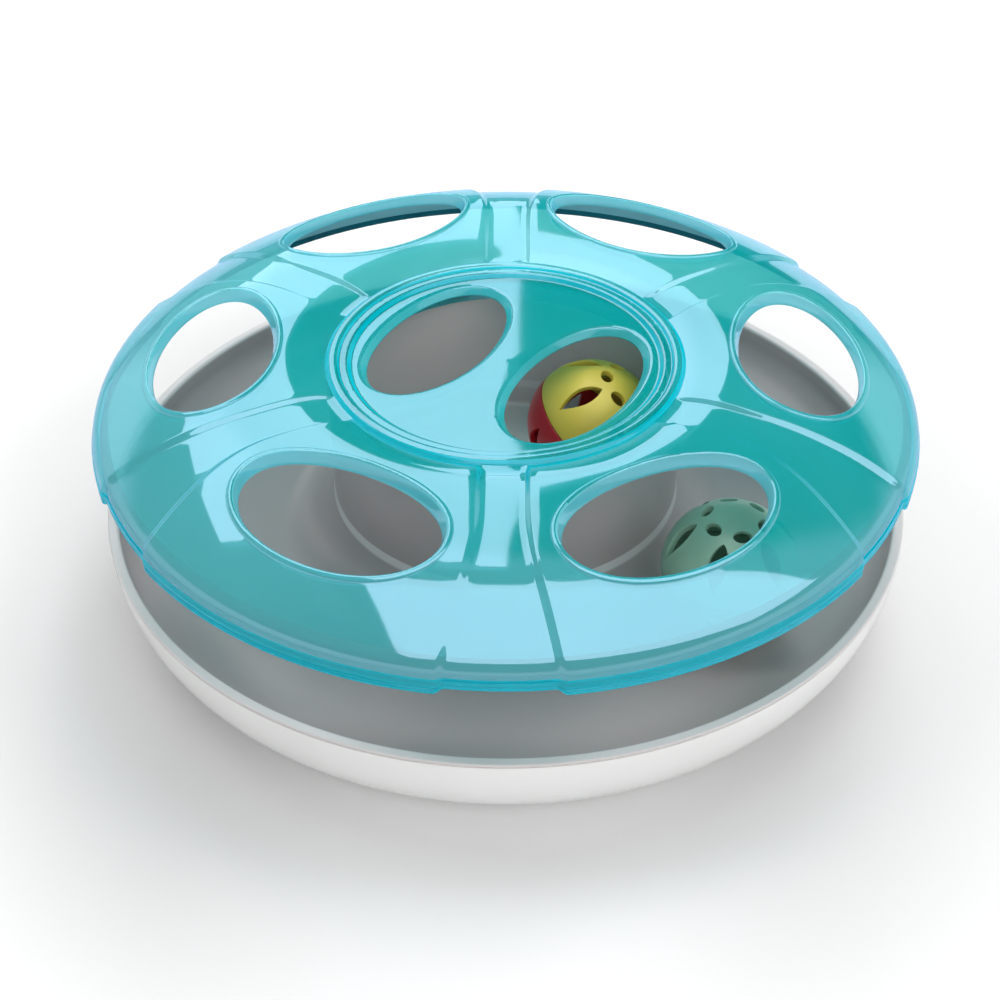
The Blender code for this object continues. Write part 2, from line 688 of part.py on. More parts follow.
def bell(prefix, frame):
    """A two-part jingle bell that lies at the bottom of the ball, with a loose pellet."""
    centre_z = -(BALL_R - BALL_T) + BELL_SEAT_GAP + BELL_R
    inner_r = BELL_R - BELL_T
    flange_r = BELL_R + BELL_FLANGE_W
    seam = CLEARANCE / 2
    cup_angle = math.degrees(math.asin((seam + BELL_FLANGE_T) / BELL_R))
    first = math.degrees(math.asin(seam / inner_r))
    profile = [(0.0, BELL_R)] + arc(0.0, 0.0, BELL_R, BELL_R, 90, cup_angle, 3)[1:]
    profile += [(flange_r, seam + BELL_FLANGE_T), (flange_r, seam)]
    profile += arc(0.0, 0.0, inner_r, inner_r, first, 90, 3)[:-1] + [(0.0, inner_r)]
    upper = turned(prefix + "bell_upper", profile, brass(), BELL_STEPS)
    lower = turned(prefix + "bell_lower", profile, brass(), BELL_STEPS)
    slots = []
    for index, angle in enumerate((0.0, math.pi / 2)):
        slot = bmesh.new()
        size = Matrix.Rotation(angle, 4, "Z") @ Matrix.Diagonal((BELL_SLOT_L, BELL_SLOT_W, BELL_R, 1.0))
        bmesh.ops.create_cube(slot, size=1.0, matrix=Matrix.Translation((0.0, 0.0, BELL_R)) @ size)
        slots.append(add_object("%sbell_slot_%d" % (prefix, index + 1), slot))
        boolean(lower, slots[-1], "DIFFERENCE")
    place = Matrix.Translation((0.0, 0.0, centre_z))
    flip = place @ Matrix.Rotation(math.pi, 4, "X")
    for piece, matrix in ((upper, place), (lower, flip), (slots[0], flip), (slots[1], flip)):
        piece.parent = frame
        piece.matrix_local = matrix
    drop = bmesh.new()
    bmesh.ops.create_uvsphere(drop, u_segments=8, v_segments=6, radius=PELLET_R)
    pellet = add_object(prefix + "bell_pellet", drop, steel())
    pellet.parent = frame
    pellet.location = (0.0, 0.0, centre_z - inner_r + CLEARANCE + PELLET_R)


def main():
    global parts, cutters
    clear_scene()
    parts = new_collection("cat_ball_track_toy")
    cutters = new_collection("cutters")
    base_shell()
    track_tray()
    tray_screws()
    foot_pads()
    lid()
    track_frame = ball_frame("track_ball_frame", TRACK_ORBIT_R, TRACK_ORBIT_ANGLE, TRACK_Z)
    ball("track_ball_", track_frame, TRACK_BALL_POLE, TRACK_BALL_PHASE,
         (mint_plastic(), mint_plastic()), ("upper", "lower"))
    bell("track_", track_frame)
    well_frame = ball_frame("well_ball_frame", WELL_ORBIT_R, WELL_ORBIT_ANGLE, WELL_Z)
    ball("well_ball_", well_frame, WELL_BALL_POLE, WELL_BALL_PHASE,
         (yellow_plastic(), red_plastic()), ("yellow", "red"))
    bell("well_", well_frame)


main()
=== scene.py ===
"""Cat ball track toy, dressed for the picture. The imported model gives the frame, and
the pieces here are finer versions of its nodes, with procedural materials, a pale
floor, soft studio light and the camera.

Lengths are millimetres while a piece is made, and metres once it is placed.
"""
import math

import bmesh
import bpy
from mathutils import Matrix, Vector


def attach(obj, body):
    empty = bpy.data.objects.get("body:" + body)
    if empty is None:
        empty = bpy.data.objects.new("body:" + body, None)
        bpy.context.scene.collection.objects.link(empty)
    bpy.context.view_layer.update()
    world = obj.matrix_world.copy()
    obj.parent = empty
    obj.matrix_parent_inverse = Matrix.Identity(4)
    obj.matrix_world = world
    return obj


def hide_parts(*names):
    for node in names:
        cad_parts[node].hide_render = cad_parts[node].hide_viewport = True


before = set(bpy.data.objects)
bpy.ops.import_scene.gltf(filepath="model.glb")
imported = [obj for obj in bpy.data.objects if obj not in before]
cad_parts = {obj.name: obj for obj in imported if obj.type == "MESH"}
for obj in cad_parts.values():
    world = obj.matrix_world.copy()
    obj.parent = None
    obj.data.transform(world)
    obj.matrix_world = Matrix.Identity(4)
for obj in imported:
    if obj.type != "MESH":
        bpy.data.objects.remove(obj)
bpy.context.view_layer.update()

MM = 0.001
GAP = 0.3
TINY = 1e-6

# Bowl and tray
FOOT_Z = 1.5
SHELL_FLOOR_Z = 3.0
SHELL_T = 2.0
FLANGE_T = 1.0
SEAT_GAP = 0.15
RIM_R = 120.0
RIM_Z = 36.0
OUTER_R = 122.6
FOOT_R = 91.6
FOOT_INNER_R = 73.0
TRAY_T = 1.6
LIP_FROM_Z = 34.6
LIP_TO_Z = 35.6
TRACK_Z = 20.0
TRAY_WALL_R = 118.8
TRAY_WALL_Z = 33.0
TRACK_OUTER_CURVE = 20.8
HUB_R = 53.0
HUB_CURVE = 19.0
HUB_TOP_Z = 78.5
WELL_R = 50.4
WELL_Z = 28.0
BOWL_STEPS = 192

# Fixings under the bowl
SCREW_COUNT = 4
SCREW_CIRCLE_R = 62.0
SCREW_FIRST = math.pi / 48
SHELL_BOSS_R = 5.5
SHELL_BOSS_TOP_Z = 8.0
COUNTERBORE_R = 3.3
COUNTERBORE_TOP_Z = 6.6
BORE_R = 1.7
TRAY_BOSS_R = 4.2
TRAY_BOSS_LOW_Z = 8.3
PILOT_STOP = 0.6
BOSS_SINK = 1.0
SCREW_SHANK_R = 1.4
SCREW_HEAD_R = 3.0
SCREW_HEAD_T = 1.8
SCREW_TIP_GAP = 0.8
SCREW_PITCH = 0.9
RECESS_SIZE = (3.4, 0.75, 2.0)
RECESS_TAPER = 0.6
PAD_COUNT = 4
PAD_R = 7.0
PAD_T = 1.2
PAD_CIRCLE_R = 82.3
PAD_FIRST = math.pi / 4
PAD_RING_H = 0.12
PAD_RINGS = (1.6, 3.4, 5.2)
BOSS_STEPS = 48
BORE_STEPS = 32
PAD_STEPS = 64

# Lid; its eyes are the two oval holes in the centre disc
LID_EDGE_R = 123.5
LID_EDGE_Z = 61.0
LID_T = 2.4
BEAD_TOP_Z = 65.3
NECK_R = 123.1
ROLL_R = 120.0
CROWN_R = 79.9
CROWN_Z = 84.8
CROWN_DROP = 14.1
CROWN_INNER_DROP = 3.6
CROWN_INNER_W = 26.4
GROOVE_R = 53.5
DISC_Z = 80.1
SKIRT_R = 49.9
SKIRT_T = 2.0
SKIRT_LOW_Z = 71.0
WINDOW_COUNT = 6
WINDOW_R = 87.05
WINDOW_SHORT_R = 17.75
WINDOW_LONG_R = 30.53
EYE_OFFSET = 23.6
EYE_SHORT_R = 16.2
EYE_LONG_R = 30.5
EYE_ANGLE = math.radians(-29.4)
BAND_HALF_W = 6.7
BAND_FLARE_W = 3.7
BAND_FLARE_R = 75.0
BAND_STRAIGHT_R = 103.0
BAND_DEPTH = 1.2
BAND_FADE_W = 2.2
BAND_LIFT = 1.5
STEP_INNER_W = 0.85
STEP_GROWTH = 0.65
STEP_FROM_R = 60.0
STEP_TO_R = 110.0
BAND_FROM_R = 45.0
PANEL_COLUMNS = 12
# WALL_SPLIT_Z is also where the inner wall's painted light above meets its painted shade below.
WALL_SPLIT_Z = 63.3
RING_FROM_R = 46.0
RING_TO_R = 53.6
WALLS_TO_R = 110.0
STEEP_Z = 0.86
INNER_WALL_REACH = 6.0
EDGE_REACH = 3.0
EDGE_ABOVE = 0.4
HOLE_SLACK = 0.5
HOLE_DEPTH = 3.5
OVAL_STEPS = 96

# Balls
BALL_R = 20.0
BALL_T = 1.8
SEAM_GAP = 0.3
TONGUE_T = 0.75
TONGUE_L = 1.4
SLOTS_PER_HALF = 6
TEAR_FAT_POLAR = math.radians(35.5)
TEAR_TIP_POLAR = math.radians(74.0)
TEAR_FAT_R = 2.6
TEAR_STEPS = 16
TEAR_LEAN = 1.25
TEAR_FULLNESS = 0.75
OVAL_POLAR = math.radians(25.4)
OVAL_LONG_R = 2.55
OVAL_SHORT_R = 1.8
OVAL_SLOT_STEPS = 28
SLOT_FLARE = 0.2
SLOT_MID_FLARE = 0.35
BALL_STEPS = 96
TRACK_ORBIT_R = 81.0
TRACK_ORBIT_ANGLE = math.radians(-36.0)
TRACK_BALL_POLE = (0.02, 0.015, 1.0)
TRACK_BALL_PHASE = math.radians(188.5)
WELL_ORBIT_R = 29.2
WELL_ORBIT_ANGLE = math.radians(23.7)
WELL_BALL_POLE = (0.613, -0.093, 0.785)
WELL_BALL_PHASE = math.radians(209.1)

# Finishes
PIECE_SHARP = 32.0
LID_SHARP = 36.0
GRAIN_DEPTH = 0.0002
NOISE_LOW = 0.3
NOISE_HIGH = 0.7
# Painted light: the well's tone paints the shaded well paler; the lip's tone paints the lit lip of the bowl
# paler and less warm.
WELL_PAINTED_LIGHT = (0.82, 0.77, 0.76)
LIP_PAINTED_LIGHT = (0.76, 0.71, 0.71)
CLEAR_TONE_SCALE = 9.0
GLOW_THROUGH = 0.30
COVER_BLEND = 0.35
GLOSS_TINT = (0.60, 0.73, 1.0, 1.0)
GLOSS_ROUGHNESS = 0.045
SKIN_GLOSS = 0.18
WALL_GLOSS = 0.11
EDGE_GLOSS = 0.045


# Shapes

def on_circle(radius, angle):
    return (radius * math.cos(angle), radius * math.sin(angle))


def circle_angles(count, first=0.0):
    return [first + 2 * math.pi * i / count for i in range(count)]


def smooth(share):
    share = min(max(share, 0.0), 1.0)
    return share * share * (3.0 - 2.0 * share)


def arc(centre_r, centre_z, radius_r, radius_z, start, end, steps):
    """Points on an elliptic arc in the (radius, height) plane, angles in degrees."""
    points = []
    for i in range(steps + 1):
        angle = math.radians(start + (end - start) * i / steps)
        points.append((centre_r + radius_r * math.cos(angle), centre_z + radius_z * math.sin(angle)))
    return points


def rounded(points, steps=5):
    """The points of a closed outline; one with a third number has its corner rounded
    to that radius."""
    out = []
    for i, point in enumerate(points):
        here = Vector(point[:2])
        if len(point) < 3:
            out.append(tuple(here))
            continue
        before = Vector(points[i - 1][:2]) - here
        after = Vector(points[(i + 1) % len(points)][:2]) - here
        half = before.angle(after) / 2
        cut = min(point[2] / math.tan(half), 0.49 * before.length, 0.49 * after.length)
        radius = cut * math.tan(half)
        middle = (before.normalized() + after.normalized()).normalized()
        centre = here + middle * (radius / math.sin(half))
        first = here + before.normalized() * cut - centre
        last = here + after.normalized() * cut - centre
        sweep = math.pi - 2 * half
        for k in range(steps + 1):
            t = k / steps
            spot = (first * math.sin((1 - t) * sweep) + last * math.sin(t * sweep)) / math.sin(sweep)
            out.append(tuple(centre + spot))
    return out


def new_object(name, bm):
    bmesh.ops.recalc_face_normals(bm, faces=bm.faces)
    mesh = bpy.data.meshes.new(name)
    bm.to_mesh(mesh)
    bm.free()
    obj = bpy.data.objects.new(name, mesh)
    bpy.context.scene.collection.objects.link(obj)
    return obj


def skin(bm, rings, closed=False):
    """Faces between neighbouring rings of vertices; a ring of one vertex is a pole."""
    pairs = list(zip(rings, rings[1:]))
    if closed:
        pairs.append((rings[-1], rings[0]))
    for first, second in pairs:
        count = max(len(first), len(second))
        for i in range(count):
            j = (i + 1) % count
            corners = []
            for ring, place in ((first, i), (first, j), (second, j), (second, i)):
                vert = ring[place % len(ring)]
                if vert not in corners:
                    corners.append(vert)
            if len(corners) > 2:
                bm.faces.new(corners)


def turned_rings(bm, profile, steps, centre=(0.0, 0.0)):
    """Rings of vertices round an upright line through centre, one ring for each point
    of the profile; a point on that line gives a single vertex."""
    rings = []
    for radius, height in profile:
        if radius < TINY:
            rings.append([bm.verts.new((*centre, height))])
            continue
        ring = []
        for angle in circle_angles(steps):
            x, y = on_circle(radius, angle)
            ring.append(bm.verts.new((centre[0] + x, centre[1] + y, height)))
        rings.append(ring)
    return rings


def lathe(name, profile, steps=BOWL_STEPS, closed=True):
    """A turned solid. An open profile starts and ends on the axis."""
    bm = bmesh.new()
    skin(bm, turned_rings(bm, profile, steps), closed)
    return new_object(name, bm)


def add_turned(bm, centre, profile, steps):
    """Add a turned solid about an upright line through centre; the profile starts and
    ends on that line."""
    skin(bm, turned_rings(bm, profile, steps, centre))


def apply_modifiers(obj):
    """Give obj the mesh that its modifiers make."""
    bpy.context.view_layer.update()
    result = bpy.data.meshes.new_from_object(obj.evaluated_get(bpy.context.evaluated_depsgraph_get()))
    obj.modifiers.clear()
    old = obj.data
    obj.data = result
    bpy.data.meshes.remove(old)


def boolean(obj, other, operation):
    """Join or cut obj with other, which is used up."""
    modifier = obj.modifiers.new(other.name, "BOOLEAN")
    modifier.operation = operation
    modifier.solver = "MANIFOLD"
    modifier.object = other
    apply_modifiers(obj)
    used = other.data
    bpy.data.objects.remove(other)
    bpy.data.meshes.remove(used)
    if not obj.data.polygons:
        raise RuntimeError("nothing left of " + obj.name)


def place(obj, material, body, slot, nodes, sharp=PIECE_SHARP, matrix=None):
    """Bring a finished piece to metres and to its body, and let it stand for its nodes."""
    if matrix is not None:
        obj.data.transform(matrix)
    obj.data.transform(Matrix.Scale(MM, 4))
    obj.data.shade_smooth()
    obj.data.set_sharp_from_angle(angle=math.radians(sharp))
    even = obj.modifiers.new("even_shading", "WEIGHTED_NORMAL")
    even.keep_sharp = True
    even.weight = 100
    apply_modifiers(obj)
    obj.data.materials.clear()
    obj.data.materials.append(material)
    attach(obj, body)
    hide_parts(*nodes)
    return obj


# Materials

def new_material(name):
    mat = bpy.data.materials.new(name)
    mat.use_nodes = True
    mat.node_tree.nodes.clear()
    out = mat.node_tree.nodes.new("ShaderNodeOutputMaterial")
    return mat, mat.node_tree.nodes, mat.node_tree.links, out


def noise(nodes, links, scale, detail=3.0, roughness=0.5):
    coords = nodes.new("ShaderNodeTexCoord")
    texture = nodes.new("ShaderNodeTexNoise")
    texture.inputs["Scale"].default_value = scale
    texture.inputs["Detail"].default_value = detail
    texture.inputs["Roughness"].default_value = roughness
    links.new(coords.outputs["Object"], texture.inputs["Vector"])
    return texture.outputs["Fac"]


def map_range(nodes, links, source, first, last, low=0.0, high=1.0, curve="LINEAR"):
    """Bring source from first..last to low..high, held at the ends."""
    remap = nodes.new("ShaderNodeMapRange")
    remap.interpolation_type = curve
    for name, value in (("From Min", first), ("From Max", last), ("To Min", low), ("To Max", high)):
        remap.inputs[name].default_value = value
    links.new(source, remap.inputs["Value"])
    return remap.outputs["Result"]


def ramp(nodes, links, source, first, last, low, high):
    """A smooth step of source from low (at first) to high (at last)."""
    return map_range(nodes, links, source, first, last, low, high, "SMOOTHSTEP")


def times(nodes, links, first, second):
    product = nodes.new("ShaderNodeMath")
    product.operation = "MULTIPLY"
    links.new(first, product.inputs[0])
    links.new(second, product.inputs[1])
    return product.outputs["Value"]


def spread(nodes, links, source):
    """Stretch a noise's middle range to 0..1."""
    return map_range(nodes, links, source, NOISE_LOW, NOISE_HIGH)


def coordinates(nodes, links, output):
    """Texture coordinates, and their three parts apart."""
    coords = nodes.new("ShaderNodeTexCoord").outputs[output]
    split = nodes.new("ShaderNodeSeparateXYZ")
    links.new(coords, split.inputs["Vector"])
    return coords, split.outputs


def from_axis(nodes, links, coords):
    """The distance of a place from the upright axis."""
    flat = nodes.new("ShaderNodeVectorMath")
    flat.operation = "MULTIPLY"
    flat.inputs[1].default_value = (1.0, 1.0, 0.0)
    links.new(coords, flat.inputs[0])
    away = nodes.new("ShaderNodeVectorMath")
    away.operation = "LENGTH"
    links.new(flat.outputs["Vector"], away.inputs[0])
    return away.outputs["Value"]


def mixed(nodes, links, factor, first, second):
    """A colour between first and second, each a colour or another node's output."""
    mix = nodes.new("ShaderNodeMix")
    mix.data_type = "RGBA"
    links.new(factor, mix.inputs["Factor"])
    for side, color in (("A", first), ("B", second)):
        if isinstance(color, tuple):
            mix.inputs[side].default_value = (*color, 1.0)
        else:
            links.new(color, mix.inputs[side])
    return mix.outputs["Result"]


def moulded(name, first, second, roughness, grain=0.03, tone_scale=14.0, grain_scale=900.0, metallic=0.0):
    """Moulded plastic, or metal: slow tone drift and a fine skin."""
    mat, nodes, links, out = new_material(name)
    shader = nodes.new("ShaderNodeBsdfPrincipled")
    tone = spread(nodes, links, noise(nodes, links, tone_scale))
    links.new(mixed(nodes, links, tone, first, second), shader.inputs["Base Color"])
    shader.inputs["Roughness"].default_value = roughness
    bump = nodes.new("ShaderNodeBump")
    bump.inputs["Strength"].default_value = grain
    bump.inputs["Distance"].default_value = GRAIN_DEPTH
    links.new(noise(nodes, links, grain_scale, 2.0), bump.inputs["Height"])
    links.new(bump.outputs["Normal"], shader.inputs["Normal"])
    shader.inputs["Metallic"].default_value = metallic
    links.new(shader.outputs["BSDF"], out.inputs["Surface"])
    return mat


def gloss_share(nodes, links, head_on):
    """Schlick's share of light that a clear skin mirrors, the same from both sides."""
    grazing = nodes.new("ShaderNodeLayerWeight")
    grazing.inputs["Blend"].default_value = 0.5
    power = nodes.new("ShaderNodeMath")
    power.operation = "POWER"
    power.inputs[1].default_value = 5.0
    links.new(grazing.outputs["Facing"], power.inputs[0])
    return map_range(nodes, links, power.outputs["Value"], 0.0, 1.0, head_on, 1.0)


def tray_plastic():
    """Grey plastic with painted light: a warm cast against the teal light under the lid, a paler well, and
    a paler lip on the lit top that crowns the bowl.
    """
    # The warm grey is painted light: it offsets the teal light that falls through the lid.
    mat = moulded("grey_satin_plastic", (0.44, 0.38, 0.38), (0.46, 0.40, 0.40), 0.30, grain=0.02)
    nodes = mat.node_tree.nodes
    links = mat.node_tree.links
    shader = next(node for node in nodes if node.type == "BSDF_PRINCIPLED")
    track_color = shader.inputs["Base Color"].links[0].from_socket
    coords, parts = coordinates(nodes, links, "Object")
    away = from_axis(nodes, links, coords)
    # Painted light in the well: a paler tone inside the well's radius.
    outside = map_range(nodes, links, away, (WELL_R - 1.0) * MM, (WELL_R + 1.0) * MM)
    color = mixed(nodes, links, outside, WELL_PAINTED_LIGHT, track_color)
    # Painted light on the lip: the lit top of the tray is painted paler and less warm than its shaded
    # inside.
    lip = map_range(nodes, links, parts["Z"], LIP_FROM_Z * MM, LIP_TO_Z * MM)
    by_rim = nodes.new("ShaderNodeMath")
    by_rim.operation = "COMPARE"
    by_rim.inputs[1].default_value = RIM_Z * MM
    by_rim.inputs[2].default_value = 2 * FLANGE_T * MM
    links.new(parts["Z"], by_rim.inputs[0])
    lit_lip_painted_light = times(nodes, links, lip, by_rim.outputs["Value"])
    links.new(mixed(nodes, links, lit_lip_painted_light, color, LIP_PAINTED_LIGHT), shader.inputs["Base Color"])
    return mat


def teal_plastic(name, tint, first, second, cover_low, cover_high, head_on):
    """Clear teal plastic: tinted see-through and a milky teal body under a glossy skin."""
    mat, nodes, links, out = new_material(name)
    clear = nodes.new("ShaderNodeBsdfTransparent")
    clear.inputs["Color"].default_value = (*tint, 1.0)
    tone = spread(nodes, links, noise(nodes, links, CLEAR_TONE_SCALE))
    color = mixed(nodes, links, tone, first, second)
    near = nodes.new("ShaderNodeBsdfDiffuse")
    links.new(color, near.inputs["Color"])
    through = nodes.new("ShaderNodeBsdfTranslucent")
    links.new(color, through.inputs["Color"])
    body = nodes.new("ShaderNodeMixShader")
    body.inputs["Fac"].default_value = GLOW_THROUGH
    links.new(near.outputs["BSDF"], body.inputs[1])
    links.new(through.outputs["BSDF"], body.inputs[2])
    facing = nodes.new("ShaderNodeLayerWeight")
    facing.inputs["Blend"].default_value = COVER_BLEND
    cover = map_range(nodes, links, facing.outputs["Facing"], 0.0, 1.0, cover_low, cover_high)
    core = nodes.new("ShaderNodeMixShader")
    links.new(cover, core.inputs["Fac"])
    links.new(clear.outputs["BSDF"], core.inputs[1])
    links.new(body.outputs["Shader"], core.inputs[2])
    gloss = nodes.new("ShaderNodeBsdfGlossy")
    gloss.inputs["Color"].default_value = GLOSS_TINT
    gloss.inputs["Roughness"].default_value = GLOSS_ROUGHNESS
    skin_mix = nodes.new("ShaderNodeMixShader")
    links.new(gloss_share(nodes, links, head_on), skin_mix.inputs["Fac"])
    links.new(core.outputs["Shader"], skin_mix.inputs[1])
    links.new(gloss.outputs["BSDF"], skin_mix.inputs[2])
    links.new(skin_mix.outputs["Shader"], out.inputs["Surface"])
    return mat


# Bowl

def shell_profile():
    wall_top = RIM_Z - FLANGE_T - SEAT_GAP
    outer = arc(FOOT_R, wall_top - 0.5, OUTER_R - FOOT_R, wall_top - 0.5 - FOOT_Z, 0, -88, 40)
    under = [(FOOT_INNER_R + 1.2, FOOT_Z), (FOOT_INNER_R + 0.4, FOOT_Z + 0.15),
             (FOOT_INNER_R - 0.3, FOOT_Z + 0.6), (FOOT_INNER_R - 1.0, SHELL_FLOOR_Z - 0.25),
             (FOOT_INNER_R - 1.8, SHELL_FLOOR_Z), (0.0, SHELL_FLOOR_Z)]
    floor = [(0.0, SHELL_FLOOR_Z + SHELL_T), (FOOT_INNER_R - 1.5, SHELL_FLOOR_Z + SHELL_T),
             (FOOT_INNER_R + 0.5, FOOT_Z + SHELL_T)]
    inner = arc(FOOT_R, wall_top, OUTER_R - FOOT_R - SHELL_T, wall_top - FOOT_Z - SHELL_T, -90, 0, 24)
    rim = [(OUTER_R - SHELL_T + 0.3, wall_top), (OUTER_R - 0.4, wall_top), (OUTER_R - 0.1, wall_top - 0.15)]
    return outer + under + floor + inner + rim


def base_shell():
    shell = lathe("base_shell_fine", shell_profile(), closed=True)
    bosses = bmesh.new()
    counterbores = bmesh.new()
    bores = bmesh.new()
    for angle in circle_angles(SCREW_COUNT, SCREW_FIRST):
        spot = on_circle(SCREW_CIRCLE_R, angle)
        top = SHELL_BOSS_TOP_Z
        add_turned(bosses, spot, [(0, 4.0), (SHELL_BOSS_R + 0.9, 4.0), (SHELL_BOSS_R + 0.9, 5.0),
                                  (SHELL_BOSS_R + 0.3, 5.3), (SHELL_BOSS_R, 6.0), (SHELL_BOSS_R, top - 0.4),
                                  (SHELL_BOSS_R - 0.4, top), (0, top)], BOSS_STEPS)
        add_turned(counterbores, spot, [(0, 2.0), (COUNTERBORE_R + 0.5, 2.0), (COUNTERBORE_R + 0.4, 3.05),
                                        (COUNTERBORE_R, 3.45), (COUNTERBORE_R, COUNTERBORE_TOP_Z),
                                        (0, COUNTERBORE_TOP_Z)], BOSS_STEPS)
        add_turned(bores, spot, [(0, 2.0), (BORE_R, 2.0), (BORE_R, top + 1.0), (0, top + 1.0)], BORE_STEPS)
    boolean(shell, new_object("shell_bosses", bosses), "UNION")
    boolean(shell, new_object("shell_counterbores", counterbores), "DIFFERENCE")
    boolean(shell, new_object("shell_bores", bores), "DIFFERENCE")
    return shell


def tray_profile():
    hub_r = HUB_R + HUB_CURVE
    curve_r = TRAY_WALL_R - TRACK_OUTER_CURVE
    top = rounded([(0.0, WELL_Z), (WELL_R, WELL_Z, 2.0), (WELL_R, HUB_TOP_Z, 0.7), (HUB_R, HUB_TOP_Z, 0.7),
                   (HUB_R, TRACK_Z + HUB_CURVE)], 6)
    top += arc(hub_r, TRACK_Z + HUB_CURVE, HUB_CURVE, HUB_CURVE, -178, -92, 20)
    top += arc(curve_r, TRAY_WALL_Z, TRACK_OUTER_CURVE, TRAY_WALL_Z - TRACK_Z, -90, 0, 24)
    lip = rounded([(TRAY_WALL_R, TRAY_WALL_Z), (RIM_R - 0.3, RIM_Z, 1.0), (OUTER_R, RIM_Z, 0.7),
                   (OUTER_R, RIM_Z - FLANGE_T, 0.3), (TRAY_WALL_R + TRAY_T, RIM_Z - FLANGE_T)], 6)
    top += lip[1:]
    well_low = WELL_Z - TRAY_T
    reach = HUB_CURVE + TRAY_T
    start = math.degrees(math.asin((TRACK_Z + HUB_CURVE - well_low) / reach))
    under = arc(curve_r, TRAY_WALL_Z, TRACK_OUTER_CURVE + TRAY_T, TRAY_WALL_Z - TRACK_Z + TRAY_T,
                0, -90, 20)
    under += arc(hub_r, TRACK_Z + HUB_CURVE, reach, reach, -90, -180 + start, 14)
    return top + under + [(0.0, well_low)]


def tray_underside_z(radius):
    reach = HUB_CURVE + TRAY_T
    inward = min(max(HUB_R + HUB_CURVE - radius, 0.0), reach)
    return TRACK_Z + HUB_CURVE - math.sqrt(reach * reach - inward * inward)


def pilot_top_z():
    return tray_underside_z(SCREW_CIRCLE_R + TRAY_BOSS_R) - PILOT_STOP


def track_tray():
    tray = lathe("track_tray_fine", tray_profile(), closed=False)
    bosses = bmesh.new()
    pilots = bmesh.new()
    high = tray_underside_z(SCREW_CIRCLE_R + TRAY_BOSS_R) + BOSS_SINK
    low = TRAY_BOSS_LOW_Z
    for angle in circle_angles(SCREW_COUNT, SCREW_FIRST):
        spot = on_circle(SCREW_CIRCLE_R, angle)
        add_turned(bosses, spot, [(0, low), (TRAY_BOSS_R - 0.4, low), (TRAY_BOSS_R, low + 0.4),
                                  (TRAY_BOSS_R, high), (0, high)], BOSS_STEPS)
        add_turned(pilots, spot, [(0, low - 1.0), (BORE_R, low - 1.0), (BORE_R, pilot_top_z()),
                                  (0, pilot_top_z())], BORE_STEPS)
    boolean(tray, new_object("tray_bosses", bosses), "UNION")
    boolean(tray, new_object("tray_pilots", pilots), "DIFFERENCE")
    return tray


def tray_screw(name, spot):
    """A pan-head screw with a cross recess and a cut thread."""
    top = COUNTERBORE_TOP_Z - GAP
    low = top - SCREW_HEAD_T
    tip = pilot_top_z() - SCREW_TIP_GAP
    profile = [(0, low), (1.6, low + 0.04), (2.3, low + 0.2), (2.75, low + 0.5), (SCREW_HEAD_R, low + 1.0),
               (SCREW_HEAD_R, top - 0.1), (SCREW_HEAD_R - 0.1, top), (SCREW_SHANK_R - 0.25, top)]
    thread_from = top + 0.5
    turns = int((tip - 1.2 - thread_from) / SCREW_PITCH)
    for k in range(turns):
        height = thread_from + k * SCREW_PITCH
        profile += [(SCREW_SHANK_R - 0.25, height), (SCREW_SHANK_R, height + 0.35),
                    (SCREW_SHANK_R, height + 0.45), (SCREW_SHANK_R - 0.25, height + 0.8)]
    profile += [(SCREW_SHANK_R - 0.3, tip - 1.0), (0.3, tip - 0.05), (0, tip)]
    bm = bmesh.new()
    add_turned(bm, spot, profile, BORE_STEPS)
    screw = new_object(name, bm)
    for turn in (0.0, math.pi / 2):
        recess = bmesh.new()
        size = Matrix.Diagonal((*RECESS_SIZE, 1.0))
        spin = Matrix.Translation((*spot, low)) @ Matrix.Rotation(turn + math.pi / 4, 4, "Z")
        bmesh.ops.create_cube(recess, size=1.0, matrix=spin @ size)
        for vert in recess.verts:
            if vert.co.z > low:
                vert.co.x = spot[0] + (vert.co.x - spot[0]) * RECESS_TAPER
                vert.co.y = spot[1] + (vert.co.y - spot[1]) * RECESS_TAPER
        boolean(screw, new_object("recess", recess), "DIFFERENCE")
    return screw


def foot_pad(name, spot):
    """A non-slip pad with a rounded edge and raised grip rings underneath."""
    low = PAD_RING_H
    profile = [(0.0, low)]
    for ring in PAD_RINGS:
        profile += [(ring - 0.45, low), (ring - 0.25, 0.0), (ring + 0.25, 0.0), (ring + 0.45, low)]
    profile += [(PAD_R - 0.5, low), (PAD_R - 0.15, low + 0.12), (PAD_R, low + 0.4), (PAD_R, PAD_T - 0.15),
                (PAD_R - 0.15, PAD_T), (0.0, PAD_T)]
    bm = bmesh.new()
    add_turned(bm, spot, profile, PAD_STEPS)
    return new_object(name, bm)


# Lid

def crown_z(radius):
    """Height of the dome's outer face."""
    if radius <= CROWN_R:
        return CROWN_Z - CROWN_INNER_DROP * ((CROWN_R - radius) / CROWN_INNER_W) ** 3
    return CROWN_Z - CROWN_DROP * ((radius - CROWN_R) / (ROLL_R - CROWN_R)) ** 2


def crown_points(first_r, last_r, steps, offset=0.0):
    points = []
    for i in range(steps + 1):
        radius = first_r + (last_r - first_r) * i / steps
        points.append((radius, crown_z(radius) + offset))
    return points


def roll_points(steps):
    """The roll from the dome down to the bead round the lid's edge."""
    slope = 2 * CROWN_DROP / (ROLL_R - CROWN_R)
    first = (ROLL_R, crown_z(ROLL_R))
    corner = (NECK_R, first[1] - slope * (NECK_R - ROLL_R))
    last = (NECK_R, BEAD_TOP_Z)
    points = []
    for i in range(1, steps + 1):
        t = i / steps
        points.append(tuple((1 - t) ** 2 * a + 2 * t * (1 - t) * b + t * t * c
                            for a, b, c in zip(first, corner, last)))
    return points


